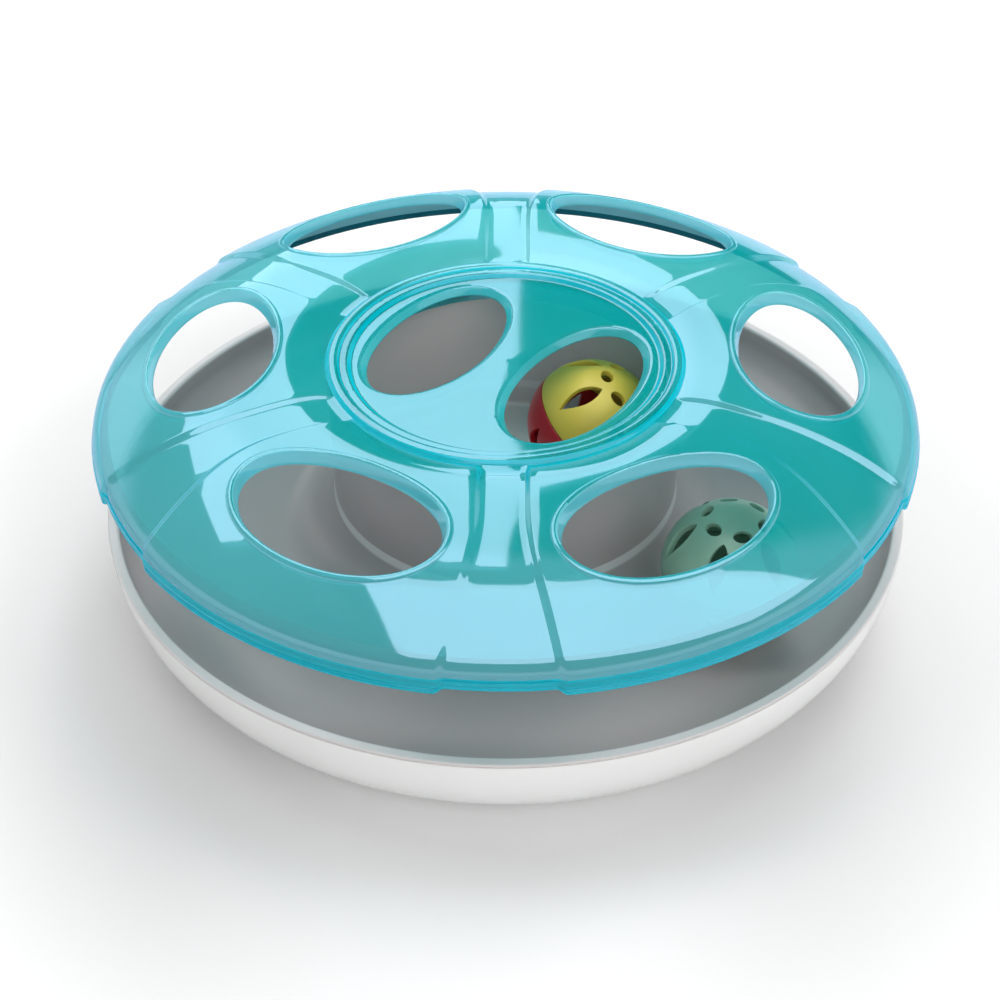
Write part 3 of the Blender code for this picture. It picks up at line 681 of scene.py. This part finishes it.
def lid_top():
    """Outer face of the lid from the axis to the bottom of its edge."""
    ring = [(0.0, DISC_Z), (30.0, DISC_Z), (45.4, DISC_Z), (45.9, DISC_Z + 0.08), (46.4, DISC_Z + 0.5),
            (46.9, DISC_Z + 1.0), (47.3, DISC_Z + 1.15), (48.2, DISC_Z + 1.17), (49.1, DISC_Z + 1.1),
            (49.4, DISC_Z + 1.2), (49.9, DISC_Z + 1.9), (50.5, DISC_Z + 2.12), (51.5, DISC_Z + 2.2),
            (52.3, DISC_Z + 2.05), (52.9, DISC_Z + 1.65), (53.3, DISC_Z + 1.22)]
    crown = crown_points(GROOVE_R, ROLL_R, 44)
    bead = [(NECK_R + 0.1, 65.1), (NECK_R + 0.3, 64.8), (LID_EDGE_R, 64.3), (LID_EDGE_R, 63.9),
            (LID_EDGE_R - 0.1, 63.45), (LID_EDGE_R - 0.38, 63.2), (LID_EDGE_R - 0.38, 63.08),
            (LID_EDGE_R - 0.12, 62.9), (LID_EDGE_R - 0.12, 62.5), (LID_EDGE_R - 0.36, 62.34),
            (LID_EDGE_R - 0.36, 62.22), (LID_EDGE_R - 0.14, 62.05), (LID_EDGE_R - 0.14, 61.55),
            (LID_EDGE_R - 0.3, 61.2), (LID_EDGE_R - 0.65, LID_EDGE_Z)]
    return ring + crown + roll_points(8) + bead


def lid_under():
    """Inner face of the lid from the bottom of its edge back to the axis."""
    wall_r = LID_EDGE_R - LID_T
    points = [(wall_r + 0.4, LID_EDGE_Z), (wall_r + 0.1, 61.15), (wall_r, 61.5), (wall_r, WALL_SPLIT_Z),
              (wall_r, 64.6), (wall_r - 0.25, 66.0), (wall_r - 1.0, 67.4), (wall_r - 2.2, 68.7)]
    points += list(reversed(crown_points(GROOVE_R + 0.6, ROLL_R - 2.0, 30, -LID_T)))
    under_z = crown_z(GROOVE_R) - LID_T
    points += [(SKIRT_R + 1.4, under_z + 0.02), (SKIRT_R + 0.4, under_z - 0.25), (SKIRT_R, under_z - 0.9),
               (SKIRT_R, SKIRT_LOW_Z + 0.7), (SKIRT_R - 0.25, SKIRT_LOW_Z + 0.2),
               (SKIRT_R - 0.8, SKIRT_LOW_Z), (SKIRT_R - SKIRT_T + 0.5, SKIRT_LOW_Z),
               (SKIRT_R - SKIRT_T + 0.1, SKIRT_LOW_Z + 0.2), (SKIRT_R - SKIRT_T, SKIRT_LOW_Z + 0.6),
               (SKIRT_R - SKIRT_T, DISC_Z - LID_T - 0.8), (SKIRT_R - SKIRT_T - 0.3, DISC_Z - LID_T - 0.2),
               (SKIRT_R - SKIRT_T - 1.0, DISC_Z - LID_T), (0.0, DISC_Z - LID_T)]
    return points


def band_half_width(radius):
    """Half width of a band: even by the ring, then a curved flare, then a straight one."""
    share = max(radius - BAND_FLARE_R, 0.0) / (BAND_STRAIGHT_R - BAND_FLARE_R)
    if share <= 1.0:
        return BAND_HALF_W + BAND_FLARE_W * share * share
    return BAND_HALF_W + BAND_FLARE_W * (2.0 * share - 1.0)


def step_half_width(radius):
    """Half width of the slope from a band up to the panel beside it."""
    return STEP_INNER_W + STEP_GROWTH * smooth((radius - STEP_FROM_R) / (STEP_TO_R - STEP_FROM_R))


def lid_columns():
    """One half of a sixth of the lid, from a band's middle to a window's: each column
    gives its angle for a radius, and its share of the band's depth."""
    half_sector = math.pi / WINDOW_COUNT

    def band_angle(radius, share, offset):
        width = share * (band_half_width(radius) + offset * step_half_width(radius))
        return width / max(radius, BAND_FROM_R)

    columns = []
    for share in (0.0, 0.25, 0.5, 0.75):
        columns.append((lambda r, f=share: band_angle(r, f, -1.0), 1.0))
    for offset in (-1.0, -0.6, -0.2, 0.2, 0.6, 1.0):
        depth = 1.0 - smooth((offset + 1.0) / 2)
        columns.append((lambda r, o=offset: band_angle(r, 1.0, o), depth))
    for i in range(1, PANEL_COLUMNS + 1):
        def angle(radius, share=i / PANEL_COLUMNS):
            near = band_angle(radius, 1.0, 1.0)
            return near + (half_sector - near) * share
        columns.append((angle, 0.0))
    return columns


def lid_dome():
    """The lid without its openings. Its columns follow the edges of the six bands."""
    top = lid_top()
    rows = []
    for i, (radius, height) in enumerate(top):
        before = Vector(top[max(i - 1, 0)])
        after = Vector(top[min(i + 1, len(top) - 1)])
        along = (after - before).normalized()
        band = smooth((radius - GROOVE_R) / BAND_FADE_W)
        rows.append((radius, height, -along.y * band, along.x * band, band))
    rows += [(radius, height, 0.0, 0.0, 1.0) for radius, height in lid_under()]
    half = lid_columns()
    sector = 2 * math.pi / WINDOW_COUNT
    bm = bmesh.new()
    rings = []
    for radius, height, out_r, out_z, band in rows:
        if radius < TINY:
            rings.append([bm.verts.new((0.0, 0.0, height))])
            continue
        ring = []
        for k in range(WINDOW_COUNT):
            middle = sector * (k + 0.5)
            sides = [(middle + angle(radius), depth) for angle, depth in half]
            sides += [(middle + sector - angle(radius), depth) for angle, depth in half[-2:0:-1]]
            for angle, depth in sides:
                sunk = BAND_DEPTH * depth
                level = height - out_z * sunk
                if height < BEAD_TOP_Z:
                    lift = BAND_LIFT * depth * (BEAD_TOP_Z - height) / (BEAD_TOP_Z - LID_EDGE_Z)
                    level = height + lift
                ring.append(bm.verts.new((*on_circle(radius - out_r * sunk, angle), level)))
        rings.append(ring)
    skin(bm, rings)
    return new_object("lid_fine", bm)


def oval_ring(bm, spot, turn, short, long, out, level):
    """Vertices round an oval, out from it by a distance; level gives the height."""
    verts = []
    for angle in circle_angles(OVAL_STEPS):
        x = short * math.cos(angle)
        y = long * math.sin(angle)
        normal = Vector((x / (short * short), y / (long * long))).normalized()
        flat = Matrix.Rotation(turn, 2) @ (Vector((x, y)) + normal * out) + Vector(spot)
        verts.append(bm.verts.new((flat.x, flat.y, level(flat.length))))
    return verts


# Sections of a collar and of the two kinds of opening: how far out from the oval, and
# how far above the surface
COLLAR = [(-0.8, -3.4), (-0.8, 0.2), (1.0, 0.3), (1.7, 0.48), (2.15, 0.55), (2.6, 0.5), (2.95, 0.34),
          (3.15, 0.1), (3.3, -0.5), (3.3, -1.3), (2.2, -2.6), (1.2, -3.2), (0.9, -3.4)]
WINDOW_CUT = [(0.0, -3.2), (0.12, -2.6), (1.15, -0.1), (1.4, 0.25), (1.85, 0.52)]
EYE_CUT = [(0.0, -2.6), (0.05, -2.1), (1.3, -0.75), (1.7, -0.42), (2.2, -0.15), (2.75, -0.01),
           (3.0, 0.06)]


def openings():
    """Spot, turn, short and long radius of each hole, the level it lies in, and its cut."""
    for angle in circle_angles(WINDOW_COUNT):
        yield on_circle(WINDOW_R, angle), angle, WINDOW_SHORT_R, WINDOW_LONG_R, crown_z, WINDOW_CUT
    for angle in (EYE_ANGLE, EYE_ANGLE + math.pi):
        yield on_circle(EYE_OFFSET, angle), angle, EYE_SHORT_R, EYE_LONG_R, lambda r: DISC_Z, EYE_CUT


def raised(surface, height):
    """The surface's level for a radius, lifted by a height."""
    return lambda radius: surface(radius) + height


def lid():
    """The dome with a collar round each window, and all its openings cut."""
    dome = lid_dome()
    collars = bmesh.new()
    cuts = bmesh.new()
    for spot, turn, short, long, surface, cut in openings():
        if cut is WINDOW_CUT:
            rings = []
            for out, up in COLLAR:
                rings.append(oval_ring(collars, spot, turn, short, long, out, raised(surface, up)))
            skin(collars, rings, closed=True)
        rings = [oval_ring(cuts, spot, turn, short, long, cut[0][0], lambda r: LID_EDGE_Z)]
        for out, up in cut:
            rings.append(oval_ring(cuts, spot, turn, short, long, out, raised(surface, up)))
        rings.append(oval_ring(cuts, spot, turn, short, long, cut[-1][0], lambda r: CROWN_Z + 5.0))
        skin(cuts, rings)
        cuts.faces.new(rings[0])
        cuts.faces.new(rings[-1])
    boolean(dome, new_object("collars", collars), "UNION")
    boolean(dome, new_object("openings", cuts), "DIFFERENCE")
    return dome


def out_of_oval(spot, turn, short, long, x, y):
    """About how far (x, y) lies outside an oval."""
    flat = Matrix.Rotation(-turn, 2) @ (Vector((x, y)) - Vector(spot))
    share = math.hypot(flat.x / short, flat.y / long)
    slope = math.hypot(flat.x / short ** 2, flat.y / long ** 2) / max(share, TINY)
    return (share - 1.0) / max(slope, TINY)


def mark_edges(obj, edge, window, eye, dark, greyed):
    """Give the lid's edge and the ring's flanks, the walls of the windows, those of the
    centre holes and the two parts of the edge's inner wall their own materials. The edge, the
    flanks and the centre holes' walls are deeper, as clear plastic gathers colour in its edges;
    the windows' walls are paler, partly the milky scatter of a cut edge and partly painted light;
    the inner wall has painted light on its upper part and painted shade on its lower."""
    index = {}
    for material in (edge, window, eye, dark, greyed):
        index[material.name] = len(obj.data.materials)
        obj.data.materials.append(material)
    holes = list(openings())
    for face in obj.data.polygons:
        x, y, z = (value / MM for value in face.center)
        radius = math.hypot(x, y)
        steep = abs(face.normal.z) < STEEP_Z
        inward = x * face.normal.x + y * face.normal.y < -0.5 * radius
        if inward and radius > LID_EDGE_R - INNER_WALL_REACH:
            # Painted shade on the edge's inner wall below the split height, painted light above it.
            face.material_index = index[(dark if z < WALL_SPLIT_Z else greyed).name]
        elif radius > LID_EDGE_R - EDGE_REACH and z < BEAD_TOP_Z + EDGE_ABOVE:
            face.material_index = index[edge.name]
        elif steep and RING_FROM_R < radius < RING_TO_R and z > DISC_Z - 0.1:
            face.material_index = index[edge.name]
        elif steep and radius < WALLS_TO_R:
            for spot, turn, short, long, surface, cut in holes:
                out = out_of_oval(spot, turn, short, long, x, y)
                if -HOLE_SLACK < out < cut[-1][0] and z > surface(radius) - HOLE_DEPTH:
                    # The windows' walls take the paler teal, partly painted light; the centre holes' walls
                    # the deeper teal.
                    face.material_index = index[(window if cut is WINDOW_CUT else eye).name]


# Balls

def teardrop_outline():
    """A leaf in its own plane: full round end at +X, long pointed end at -X."""
    length = (TEAR_TIP_POLAR - TEAR_FAT_POLAR) * BALL_R + 0.6
    side = []
    for i in range(1, TEAR_STEPS):
        along = 0.5 - 0.5 * math.cos(math.pi * i / TEAR_STEPS)
        wide = TEAR_FAT_R * math.sin(math.pi * along ** TEAR_LEAN) ** TEAR_FULLNESS
        side.append((-length / 2 + length * along, wide))
    lower = [(x, -y) for x, y in side]
    return [(-length / 2, 0.0)] + side + [(length / 2, 0.0)] + lower[::-1]


def oval_outline():
    points = []
    for angle in circle_angles(OVAL_SLOT_STEPS):
        points.append((OVAL_SHORT_R * math.cos(angle), OVAL_LONG_R * math.sin(angle)))
    return points


def grown(outline, distance):
    """The outline with each point moved by a distance to the right of its run."""
    out = []
    for i, point in enumerate(outline):
        here = Vector(point)
        before = Vector(outline[i - 1])
        after = Vector(outline[(i + 1) % len(outline)])
        along = (after - before).normalized()
        out.append(tuple(here + Vector((along.y, -along.x)) * distance))
    return out


def slot_cutter(bm, outline, polar, azimuth, outward):
    """A slot through the ball's wall that widens at its mouth."""
    place_at = Matrix.Rotation(azimuth, 4, "Z") @ Matrix.Rotation(polar, 4, "Y")
    place_at = place_at @ Matrix.Rotation(math.pi, 4, "Z")
    wide = grown(outline, outward * SLOT_FLARE)
    mid = grown(outline, outward * SLOT_FLARE * SLOT_MID_FLARE)
    rings = []
    for shape, depth in ((outline, -4.5), (outline, -0.55), (mid, -0.3), (wide, 0.0), (wide, 2.0)):
        ring = []
        for x, y in shape:
            across = math.hypot(x, y)
            level = BALL_R + depth
            if depth > -1.0:
                level = math.sqrt(max(BALL_R * BALL_R - across * across, 0.0)) + depth
            ring.append(bm.verts.new(place_at @ Vector((x, y, level))))
        rings.append(ring)
    skin(bm, rings)
    bm.faces.new(rings[0])
    bm.faces.new(rings[-1])


def ball_half_profile(tongue):
    """A half ball's section, with the tongue at its seam or the groove for it."""
    inner_r = BALL_R - BALL_T
    tongue_r = inner_r + TONGUE_T
    seam = SEAM_GAP / 2
    edge = 0.3
    lift = math.degrees(math.asin((seam + edge) / BALL_R))
    outer = arc(0.0, 0.0, BALL_R, BALL_R, 90, lift, 24)
    outer += [(BALL_R - 0.08, seam + 0.12), (BALL_R - 0.25, seam)]
    if tongue:
        step = [(tongue_r, seam), (tongue_r, -TONGUE_L)]
        first = -math.degrees(math.asin(TONGUE_L / inner_r))
    else:
        depth = seam + TONGUE_L + GAP
        step = [(tongue_r + GAP, seam), (tongue_r + GAP, depth)]
        first = math.degrees(math.asin(depth / inner_r))
    inner = arc(0.0, 0.0, inner_r, inner_r, first, 90, 16)
    profile = outer + step + inner
    profile[0] = (0.0, BALL_R)
    profile[-1] = (0.0, inner_r)
    return profile


def pole_matrix(pole, phase):
    """The turn that brings the Z axis to a pole, after a spin about it."""
    z_axis = Vector(pole).normalized()
    y_axis = z_axis.cross(Vector((1.0, 0.0, 0.0))).normalized()
    axes = Matrix((y_axis.cross(z_axis), y_axis, z_axis)).transposed().to_4x4()
    return axes @ Matrix.Rotation(phase, 4, "Z")


def ball_half(name, tongue):
    half = lathe(name, ball_half_profile(tongue), BALL_STEPS, closed=False)
    slots = bmesh.new()
    step = 2 * math.pi / SLOTS_PER_HALF
    for azimuth in circle_angles(SLOTS_PER_HALF):
        slot_cutter(slots, teardrop_outline(), (TEAR_FAT_POLAR + TEAR_TIP_POLAR) / 2, azimuth, -1.0)
        slot_cutter(slots, oval_outline(), OVAL_POLAR, azimuth + step / 2, 1.0)
    boolean(half, new_object(name + "_slots", slots), "DIFFERENCE")
    return half


def ball(names, pole, phase, orbit_r, orbit_angle, floor_z, body, finishes):
    """The two halves of a ball that stands on a floor at its place in the orbit."""
    turn = pole_matrix(pole, phase)
    flip = turn @ Matrix.Rotation(math.pi, 4, "X")
    centre = Matrix.Translation((*on_circle(orbit_r, orbit_angle), floor_z + GAP + BALL_R))
    for name, tongue, matrix, (material, slot) in zip(names, (True, False), (turn, flip), finishes):
        place(ball_half(name + "_fine", tongue), material, body, slot, [name], matrix=centre @ matrix)


# Pieces

white = moulded("white_gloss_plastic", (0.91, 0.91, 0.90), (0.93, 0.93, 0.92), 0.24, grain=0.02)
grey = tray_plastic()
teal = teal_plastic("teal_clear_plastic", (0.62, 0.93, 0.94), (0.0, 0.56, 0.545), (0.0, 0.61, 0.595),
                    0.43, 0.62, SKIN_GLOSS)
lid_edge = teal_plastic("teal_clear_edge", (0.05, 0.83, 0.94), (0.0, 0.67, 0.79), (0.0, 0.73, 0.87),
                        0.60, 0.88, EDGE_GLOSS)
# The windows' walls are paler partly from the milky scatter of the plastic's cut edge and partly from
# painted light where the lamps reach them.
window_wall_milky_and_painted_light = teal_plastic("teal_pale_milky_and_painted_light_wall", (0.50, 0.92, 0.96), (0.16, 0.72, 0.79), (0.24, 0.77, 0.84),
                           0.60, 0.85, WALL_GLOSS)
eye_wall = teal_plastic("teal_deep_wall", (0.25, 0.88, 0.90), (0.04, 0.56, 0.58), (0.08, 0.62, 0.64),
                        0.62, 0.88, EDGE_GLOSS)
# Painted shade and painted light: a dark and a pale grey copy of the teal for the lower and upper parts of
# the edge's inner wall.
painted_shade_wall = teal_plastic("teal_painted_shade_wall", (0.05, 0.45, 0.50), (0.0, 0.05, 0.07), (0.0, 0.08, 0.10),
                         0.88, 0.94, EDGE_GLOSS)
painted_light_wall = teal_plastic("teal_painted_light_wall", (0.50, 0.80, 0.82), (0.33, 0.46, 0.50), (0.37, 0.50, 0.54),
                         0.86, 0.92, EDGE_GLOSS)
mint = moulded("mint_plastic", (0.29, 0.47, 0.35), (0.31, 0.50, 0.38), 0.32, grain=0.05)
yellow = moulded("yellow_plastic", (0.62, 0.51, 0.065), (0.66, 0.55, 0.08), 0.30, grain=0.05)
red = moulded("red_plastic", (0.42, 0.010, 0.022), (0.47, 0.013, 0.026), 0.28, grain=0.05)
rubber = moulded("pad_rubber", (0.14, 0.14, 0.145), (0.17, 0.17, 0.17), 0.75, grain=0.25,
                 grain_scale=2500.0)
steel = moulded("screw_steel", (0.50, 0.50, 0.51), (0.60, 0.60, 0.60), 0.32, grain=0.1, metallic=1.0)
brass = moulded("bell_brass", (0.62, 0.46, 0.20), (0.72, 0.56, 0.28), 0.28, grain=0.1, tone_scale=60.0,
                metallic=1.0)
pellet_steel = moulded("pellet_steel", (0.42, 0.42, 0.43), (0.52, 0.52, 0.52), 0.35, grain=0.1,
                       metallic=1.0)

place(base_shell(), white, "base", "white_shell", ["base_shell"])
place(track_tray(), grey, "base", "grey_tray", ["track_tray"])
lid_piece = place(lid(), teal, "lid", "teal_lid", ["lid"], sharp=LID_SHARP)
mark_edges(lid_piece, lid_edge, window_wall_milky_and_painted_light, eye_wall, painted_shade_wall, painted_light_wall)
for index, angle in enumerate(circle_angles(SCREW_COUNT, SCREW_FIRST)):
    node = "tray_screw_%d" % (index + 1)
    screw = tray_screw(node + "_fine", on_circle(SCREW_CIRCLE_R, angle))
    place(screw, steel, "base", "screw_steel", [node])
for index, angle in enumerate(circle_angles(PAD_COUNT, PAD_FIRST)):
    node = "foot_pad_%d" % (index + 1)
    pad = foot_pad(node + "_fine", on_circle(PAD_CIRCLE_R, angle))
    place(pad, rubber, "base", "rubber_pad", [node])
ball(("track_ball_upper", "track_ball_lower"), TRACK_BALL_POLE, TRACK_BALL_PHASE, TRACK_ORBIT_R,
     TRACK_ORBIT_ANGLE, TRACK_Z, "track_ball", ((mint, "mint_ball"), (mint, "mint_ball")))
ball(("well_ball_yellow", "well_ball_red"), WELL_BALL_POLE, WELL_BALL_PHASE, WELL_ORBIT_R,
     WELL_ORBIT_ANGLE, WELL_Z, "well_ball", ((yellow, "yellow_ball"), (red, "red_ball")))
for node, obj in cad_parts.items():
    if "bell" in node:
        obj.data.materials.clear()
        obj.data.materials.append(pellet_steel if "pellet" in node else brass)


# Floor, light and camera

WHITE = (1.0, 1.0, 1.0, 1.0)
FLOOR_SIZE = 12.0
FLOOR_EDGE = 0.4
FLOOR_STEPS = 24
FLOOR_WHITE = (0.89, 0.89, 0.89)
# Painted shadow: the floor greys towards this tone close beside the piece, within these reaches.
FLOOR_PAINTED_SHADOW = (0.70, 0.70, 0.70)
PAINTED_SHADOW_R = (0.15, 0.24)
PAINTED_SHADOW_X = (0.02, 0.10)
GLOW_R = (0.3, 1.8)
GLOW_LEVELS = (0.09, 1.0)
LIGHT_H = 2.0
SOFTBOX_LEVEL = 2.2
TOP_LEVEL = 4.3
FILL_LEVEL = 2.0
FILL_SPOT = (0.3, -1.9, 1.6)
FILL_SIZE = (2.0, 1.4)
ROOM_LEVEL = 0.32
HORIZON_LEVEL = 1.0
HORIZON_Z = (0.02, 0.45)
SIDE_X = (-0.8, 0.8)
SIDE_LEVELS = (0.47, 1.10)
GLOSS_ROOM = 0.48
GLOSS_DARK = 0.02
DARK_SIDE = (0.352, 0.754, 0.553)
DARK_EDGE = (0.76, 0.86)
GLOSS_HORIZON = 0.70
GLOSS_HORIZON_Z = (0.30, 0.46)
BEHIND_Y = (0.78, 0.90)
CAMERA_TURN = math.radians(0.6)
CAMERA_SPOT = (0.0, -0.44961, 0.38494)
CAMERA_PITCH = math.radians(-0.74)
CAMERA_PAN = math.radians(-0.17)
CAMERA_LENS = 65.546
SENSOR_WIDTH = 36.0
CLIP_NEAR = 0.01
CLIP_FAR = 50.0


def stage_floor():
    """A large pale floor with a painted shadow that greys it close beside the piece, white to the
    camera far off, whose edges curve down a little, out of sight."""
    bm = bmesh.new()
    bmesh.ops.create_grid(bm, x_segments=FLOOR_STEPS, y_segments=FLOOR_STEPS, size=FLOOR_SIZE / 2)
    for vert in bm.verts:
        reach = max(abs(vert.co.x), abs(vert.co.y)) - (FLOOR_SIZE / 2 - FLOOR_EDGE)
        if reach > 0:
            vert.co.z = -reach * reach
    floor = new_object("floor", bm)
    if floor.data.polygons[0].normal.z < 0:
        floor.data.flip_normals()
    mat, nodes, links, out = new_material("floor_white_painted_shadow")
    shader = nodes.new("ShaderNodeBsdfDiffuse")
    coords, parts = coordinates(nodes, links, "Object")
    away = from_axis(nodes, links, coords)
    sideways = nodes.new("ShaderNodeMath")
    sideways.operation = "ABSOLUTE"
    links.new(parts["X"], sideways.inputs[0])
    # Painted shadow on the floor, close to the piece and to its left and right.
    near = ramp(nodes, links, away, *PAINTED_SHADOW_R, 1.0, 0.0)
    beside = ramp(nodes, links, sideways.outputs["Value"], *PAINTED_SHADOW_X, 0.0, 1.0)
    shade = times(nodes, links, near, beside)
    links.new(mixed(nodes, links, shade, FLOOR_WHITE, FLOOR_PAINTED_SHADOW), shader.inputs["Color"])
    path = nodes.new("ShaderNodeLightPath")
    lift = ramp(nodes, links, away, *GLOW_R, *GLOW_LEVELS)
    seen = times(nodes, links, lift, path.outputs["Is Camera Ray"])
    glow = nodes.new("ShaderNodeEmission")
    glow.inputs["Color"].default_value = WHITE
    links.new(seen, glow.inputs["Strength"])
    add = nodes.new("ShaderNodeAddShader")
    links.new(shader.outputs["BSDF"], add.inputs[0])
    links.new(glow.outputs["Emission"], add.inputs[1])
    links.new(add.outputs["Shader"], out.inputs["Surface"])
    floor.data.materials.append(mat)


def area_lamp(name, size, spot, level, mirrored, lights):
    """A rectangular lamp of one surface brightness, pointing down; mirrored in gloss,
    lighting what is matt, or both."""
    data = bpy.data.lights.new(name, "AREA")
    data.shape = "RECTANGLE"
    data.size = size[0]
    data.size_y = size[1]
    data.energy = level * math.pi * data.size * data.size_y
    lamp = bpy.data.objects.new(name, data)
    lamp.location = spot
    lamp.visible_glossy = mirrored
    lamp.visible_diffuse = lights
    bpy.context.scene.collection.objects.link(lamp)
    return lamp


def ceiling_lamp(name, low, high, level, mirrored=False, lights=False):
    """A lamp that fills a rectangle of the ceiling."""
    size = (high[0] - low[0], high[1] - low[1])
    spot = ((low[0] + high[0]) / 2, (low[1] + high[1]) / 2, LIGHT_H)
    area_lamp(name, size, spot, level, mirrored, lights)


def front_fill():
    """A broad lamp in front that lights the bowl's side and the floor."""
    lamp = area_lamp("front_fill", FILL_SIZE, FILL_SPOT, FILL_LEVEL, False, True)
    lamp.rotation_euler = Vector(FILL_SPOT).to_track_quat("Z", "Y").to_euler()


def studio_world():
    """White to the camera. A pale room lights the piece, brightest along the horizon and
    to the right; in its gloss the same room is dim, and darkest on one side."""
    world = bpy.data.worlds.new("studio")
    bpy.context.scene.world = world
    world.use_nodes = True
    nodes = world.node_tree.nodes
    links = world.node_tree.links
    nodes.clear()
    out = nodes.new("ShaderNodeOutputWorld")
    path = nodes.new("ShaderNodeLightPath")
    direction, parts = coordinates(nodes, links, "Generated")
    height = ramp(nodes, links, parts["Z"], *HORIZON_Z, HORIZON_LEVEL, ROOM_LEVEL)
    side = ramp(nodes, links, parts["X"], *SIDE_X, *SIDE_LEVELS)
    towards = nodes.new("ShaderNodeVectorMath")
    towards.operation = "DOT_PRODUCT"
    towards.inputs[1].default_value = DARK_SIDE
    links.new(direction, towards.inputs[0])
    upper = ramp(nodes, links, towards.outputs["Value"], *DARK_EDGE, GLOSS_ROOM, GLOSS_DARK)
    low = ramp(nodes, links, parts["Z"], *GLOSS_HORIZON_Z, GLOSS_HORIZON, 0.0)
    behind = ramp(nodes, links, parts["Y"], *BEHIND_Y, 1.0, 0.0)
    mirrored = nodes.new("ShaderNodeMath")
    mirrored.operation = "ADD"
    links.new(upper, mirrored.inputs[0])
    links.new(times(nodes, links, low, behind), mirrored.inputs[1])
    level = nodes.new("ShaderNodeMix")
    links.new(path.outputs["Is Glossy Ray"], level.inputs["Factor"])
    links.new(times(nodes, links, height, side), level.inputs["A"])
    links.new(mirrored.outputs["Value"], level.inputs["B"])
    room = nodes.new("ShaderNodeBackground")
    room.inputs["Color"].default_value = WHITE
    links.new(level.outputs["Result"], room.inputs["Strength"])
    white_view = nodes.new("ShaderNodeBackground")
    white_view.inputs["Color"].default_value = WHITE
    white_view.inputs["Strength"].default_value = 1.0
    seen = nodes.new("ShaderNodeMixShader")
    links.new(path.outputs["Is Camera Ray"], seen.inputs["Fac"])
    links.new(room.outputs["Background"], seen.inputs[1])
    links.new(white_view.outputs["Background"], seen.inputs[2])
    links.new(seen.outputs["Shader"], out.inputs["Surface"])


def camera():
    data = bpy.data.cameras.new("camera")
    data.lens = CAMERA_LENS
    data.sensor_width = SENSOR_WIDTH
    data.clip_start = CLIP_NEAR
    data.clip_end = CLIP_FAR
    obj = bpy.data.objects.new("camera", data)
    bpy.context.scene.collection.objects.link(obj)
    spot = Vector(CAMERA_SPOT)
    ahead = (Vector((0.0, 0.0, RIM_Z * MM)) - spot).normalized()
    right = ahead.cross(Vector((0.0, 0.0, 1.0))).normalized()
    up = right.cross(ahead)
    tilted = ahead * math.cos(CAMERA_PITCH) + up * math.sin(CAMERA_PITCH)
    up = right.cross(tilted)
    aimed = tilted * math.cos(CAMERA_PAN) + right * math.sin(CAMERA_PAN)
    right = aimed.cross(up)
    axes = Matrix((right, up, -aimed)).transposed().to_4x4()
    obj.matrix_world = Matrix.Rotation(CAMERA_TURN, 4, "Z") @ Matrix.Translation(spot) @ axes
    bpy.context.scene.camera = obj


stage_floor()
ceiling_lamp("softbox_back_left", (-1.8, 0.5), (0.0, 6.8), SOFTBOX_LEVEL, mirrored=True)
ceiling_lamp("softbox_far_strip", (-0.26, 6.8), (0.1, 16.0), SOFTBOX_LEVEL, mirrored=True)
ceiling_lamp("softbox_front_right", (-0.7, -1.2), (2.8, 0.14), SOFTBOX_LEVEL, mirrored=True)
ceiling_lamp("top_light", (-1.3, -0.1), (1.2, 3.0), TOP_LEVEL, lights=True)
front_fill()
studio_world()
camera()
bpy.context.scene.view_settings.view_transform = "Standard"
